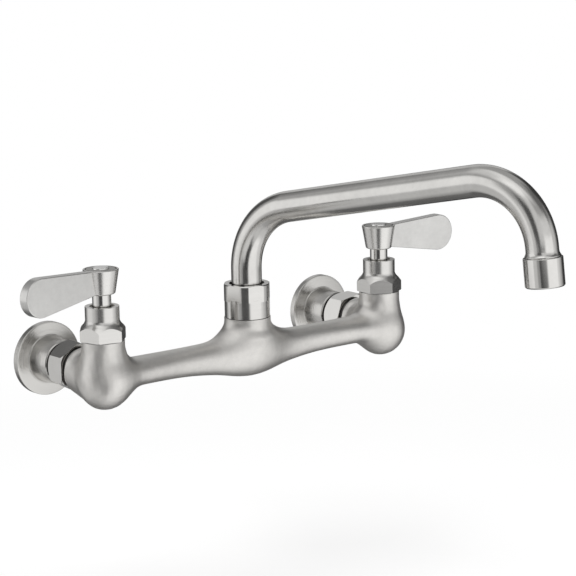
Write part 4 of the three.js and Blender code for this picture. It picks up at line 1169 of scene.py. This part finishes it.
def in_plane(reach, height):
    """A point of the upright plane in which the spout lies."""
    return Vector((0, -STANDOFF * MM, 0)) + reach_way * (reach * MM) + up_way * (height * MM)


# The tube's line as (reach, height) points: the arm's two ends, the tip bend's centre and the tip.
arm_start = (
    COLUMN_BEND_RADIUS * (1 - math.sin(arm_rise)),
    COLUMN_BEND_START + COLUMN_BEND_RADIUS * math.cos(arm_rise),
)
arm_end = (
    arm_start[0] + ARM_LENGTH * math.cos(arm_rise),
    arm_start[1] + ARM_LENGTH * math.sin(arm_rise),
)
tip_centre = (
    arm_end[0] + TIP_BEND_RADIUS * math.sin(arm_rise),
    arm_end[1] - TIP_BEND_RADIUS * math.cos(arm_rise),
)
tip_start = (
    tip_centre[0] + TIP_BEND_RADIUS * math.cos(tip_lean),
    tip_centre[1] + TIP_BEND_RADIUS * math.sin(tip_lean),
)
tip_end = (
    tip_start[0] + TIP_LENGTH * math.sin(tip_lean),
    tip_start[1] - TIP_LENGTH * math.cos(tip_lean),
)
outlet_place = (
    Matrix.Translation(in_plane(*tip_end))
    @ Matrix.Rotation(-swing, 4, "Z")
    @ Matrix.Rotation(-tip_lean, 4, "Y")
)


def extrude_by(step):
    bpy.ops.mesh.extrude_region_move(TRANSFORM_OT_translate={"value": tuple(step)})


def bend_by(angle, centre, steps):
    bpy.ops.mesh.spin(steps=steps, angle=angle, center=tuple(centre), axis=tuple(hinge_way))


def widen_into_bead():
    """Draws the tube's open end on and out to the bead, ever faster."""
    wide = BEAD_RADIUS / TUBE_RADIUS
    here = in_plane(*tip_end) - down_way * ((BEAD_LENGTH + GAP) * MM)
    advance = down_way * ((BEAD_LENGTH - GAP) * MM / BEAD_STEPS)
    for i in range(1, BEAD_STEPS + 1):
        before = 1 + (wide - 1) * ((i - 1) / BEAD_STEPS) ** 2
        after = 1 + (wide - 1) * (i / BEAD_STEPS) ** 2
        extrude_by(advance)
        here = here + advance
        scale = after / before
        bpy.ops.transform.resize(value=(scale, scale, scale), center_override=tuple(here))


def spout_tube():
    """The bent tube, drawn on from a circle at its foot and given its wall."""
    foot = FERRULE_TOP - PAST
    bpy.ops.mesh.primitive_circle_add(
        vertices=SMALL_ROUND,
        radius=TUBE_RADIUS * MM,
        location=in_plane(0, foot),
    )
    tube = bpy.context.object
    tube.name = "spout_tube"
    pick(tube)
    bpy.ops.object.transform_apply(location=True, rotation=True, scale=True)
    bpy.ops.object.mode_set(mode="EDIT")
    bpy.ops.mesh.select_all(action="SELECT")
    extrude_by(up_way * ((COLUMN_BEND_START - foot) * MM))
    bend_by(math.pi / 2 - arm_rise, in_plane(COLUMN_BEND_RADIUS, COLUMN_BEND_START), COLUMN_BEND_STEPS)
    arm_way = reach_way * math.cos(arm_rise) + up_way * math.sin(arm_rise)
    extrude_by(arm_way * (ARM_LENGTH * MM))
    bend_by(math.pi / 2 - tip_lean + arm_rise, in_plane(*tip_centre), TIP_BEND_STEPS)
    extrude_by(down_way * ((TIP_LENGTH - BEAD_LENGTH - GAP) * MM))
    widen_into_bead()
    extrude_by(down_way * (GAP * MM))
    close_up()
    wall = tube.modifiers.new("wall", "SOLIDIFY")
    wall.thickness = TUBE_WALL * MM
    wall.offset = -1
    apply_all(tube)
    return tube


def spout_foot():
    """The part of the spout in the casting: a spigot with two ring grooves, and a ferrule."""
    profile = [(SPIGOT_BORE, SPIGOT_BOTTOM), (SPIGOT_RADIUS, SPIGOT_BOTTOM)]
    for height in RING_HEIGHTS:
        profile += [
            (SPIGOT_RADIUS, height - RING_GROOVE),
            (SPIGOT_RADIUS - RING_GROOVE_DEPTH, height - RING_GROOVE),
            (SPIGOT_RADIUS - RING_GROOVE_DEPTH, height + RING_GROOVE),
            (SPIGOT_RADIUS, height + RING_GROOVE),
        ]
    profile += [
        (SPIGOT_RADIUS, FERRULE_BOTTOM),
        (FERRULE_RADIUS, FERRULE_BOTTOM),
        (FERRULE_RADIUS, FERRULE_TOP),
        (SPIGOT_BORE, FERRULE_TOP),
    ]
    return lay(turned("foot", profile, SMALL_ROUND), at_spout())


def outlet_thread():
    """The ring in the tube's end on which the aerator is screwed."""
    piece = turned("outlet_thread", [
        (TUBE_RADIUS - TUBE_WALL, GAP),
        (TUBE_RADIUS - TUBE_WALL, -OUTLET_THREAD_LENGTH),
        (OUTLET_THREAD_RADIUS, -OUTLET_THREAD_LENGTH),
        (OUTLET_THREAD_RADIUS, GAP),
    ], SMALL_ROUND)
    return lay(piece, outlet_place)


def make_spout():
    spout = join(spout_tube(), spout_foot(), outlet_thread())
    paint(spout, tube_steel)
    smooth(spout)
    hand_over(spout, "swing_spout", "spout")


def make_spout_nut():
    nut = turned("swivel_nut", [
        (0, NUT_STEP),
        (NUT_CORNER_RADIUS, NUT_STEP),
        (NUT_CORNER_RADIUS, NUT_TOP - NUT_TOP_CHAMFER),
        (NUT_CORNER_RADIUS - NUT_TOP_CHAMFER, NUT_TOP),
        (0, NUT_TOP),
    ], FINE_ROUND)
    combine(nut, hexagon(NUT_FLATS, NUT_STEP - PAST, NUT_TOP + PAST, NUT_HEX_ANGLE), "INTERSECT")
    skirt = turned("skirt", [
        (0, NUT_BOTTOM),
        (NUT_RADIUS, NUT_BOTTOM),
        (NUT_RADIUS, NUT_STEP + PAST),
        (0, NUT_STEP + PAST),
    ], FINE_ROUND)
    combine(nut, skirt, "UNION")
    bore = turned("bore", [
        (0, NUT_BOTTOM - PAST),
        (SPIGOT_THREAD_RADIUS + GAP, NUT_BOTTOM - PAST),
        (SPIGOT_THREAD_RADIUS + GAP, NUT_CEILING),
        (NUT_MOUTH_RADIUS, NUT_CEILING),
        (NUT_MOUTH_RADIUS, NUT_TOP + PAST),
        (0, NUT_TOP + PAST),
    ])
    combine(nut, bore, "DIFFERENCE")
    bevel(nut, NUT_BEVEL)
    lay(nut, at_spout())
    paint(nut, nut_steel)
    smooth(nut)
    hand_over(nut, "casting", "spout_nut")


# ---- aerator -----------------------------------------------------------------------------------------


def make_aerator():
    inner = OUTLET_THREAD_RADIUS + GAP
    shell = turned("outlet_shell", [
        (inner, 0),
        (SHELL_RADIUS - SHELL_TOP_CHAMFER, 0),
        (SHELL_RADIUS, -SHELL_TOP_CHAMFER),
        (SHELL_RADIUS, -SHELL_LENGTH + SHELL_END_CHAMFER),
        (SHELL_RADIUS - SHELL_END_INSET, -SHELL_LENGTH),
        (SHELL_LIP_RADIUS, -SHELL_LENGTH),
        (SHELL_LIP_RADIUS, -SHELL_LENGTH + SHELL_LIP),
        (inner, -SHELL_LENGTH + SHELL_LIP),
    ], FINE_ROUND)
    bevel(shell, SHELL_BEVEL)
    lay(shell, outlet_place)
    paint(shell, outlet_steel)
    smooth(shell)
    hand_over(shell, "swing_spout", "aerator_shell")


# ---- pieces that keep the solids' shape --------------------------------------------------------------
KEPT_IN_EACH_VALVE = {
    "inlet_washer": rubber,
    "seat_seal": rubber,
    "stem_ring": rubber,
    "bonnet_ring": rubber,
    # The union tail takes the threads' painted shade.
    "union_tail": thread_shade_steel,
    "cage": brass,
    "handle_screw": brass,
    "fixed_disc": ceramic,
    "moving_disc": ceramic,
}
KEPT_IN_SPOUT = {
    "spout_bearing": nylon,
    "spout_ring_1": rubber,
    "spout_ring_2": rubber,
    "aerator_washer": rubber,
    "aerator_insert": nylon,
    "aerator_screen": outlet_steel,
}


def paint_kept():
    for side in SIDES:
        for part, material in KEPT_IN_EACH_VALVE.items():
            paint(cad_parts[f"{side['name']}_{part}"], material)
    for part, material in KEPT_IN_SPOUT.items():
        paint(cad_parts[part], material)


# ---- the whole ---------------------------------------------------------------------------------------
bpy.ops.object.select_all(action="DESELECT")
bpy.context.scene.view_settings.view_transform = "Standard"
make_camera()
make_studio()
make_floor()
make_lamp()
make_casting()
make_flanges()
make_coupling_nuts()
for side in SIDES:
    make_bonnet(side)
make_stems()
make_levers()
make_buttons()
make_spout()
make_spout_nut()
make_aerator()
paint_kept()
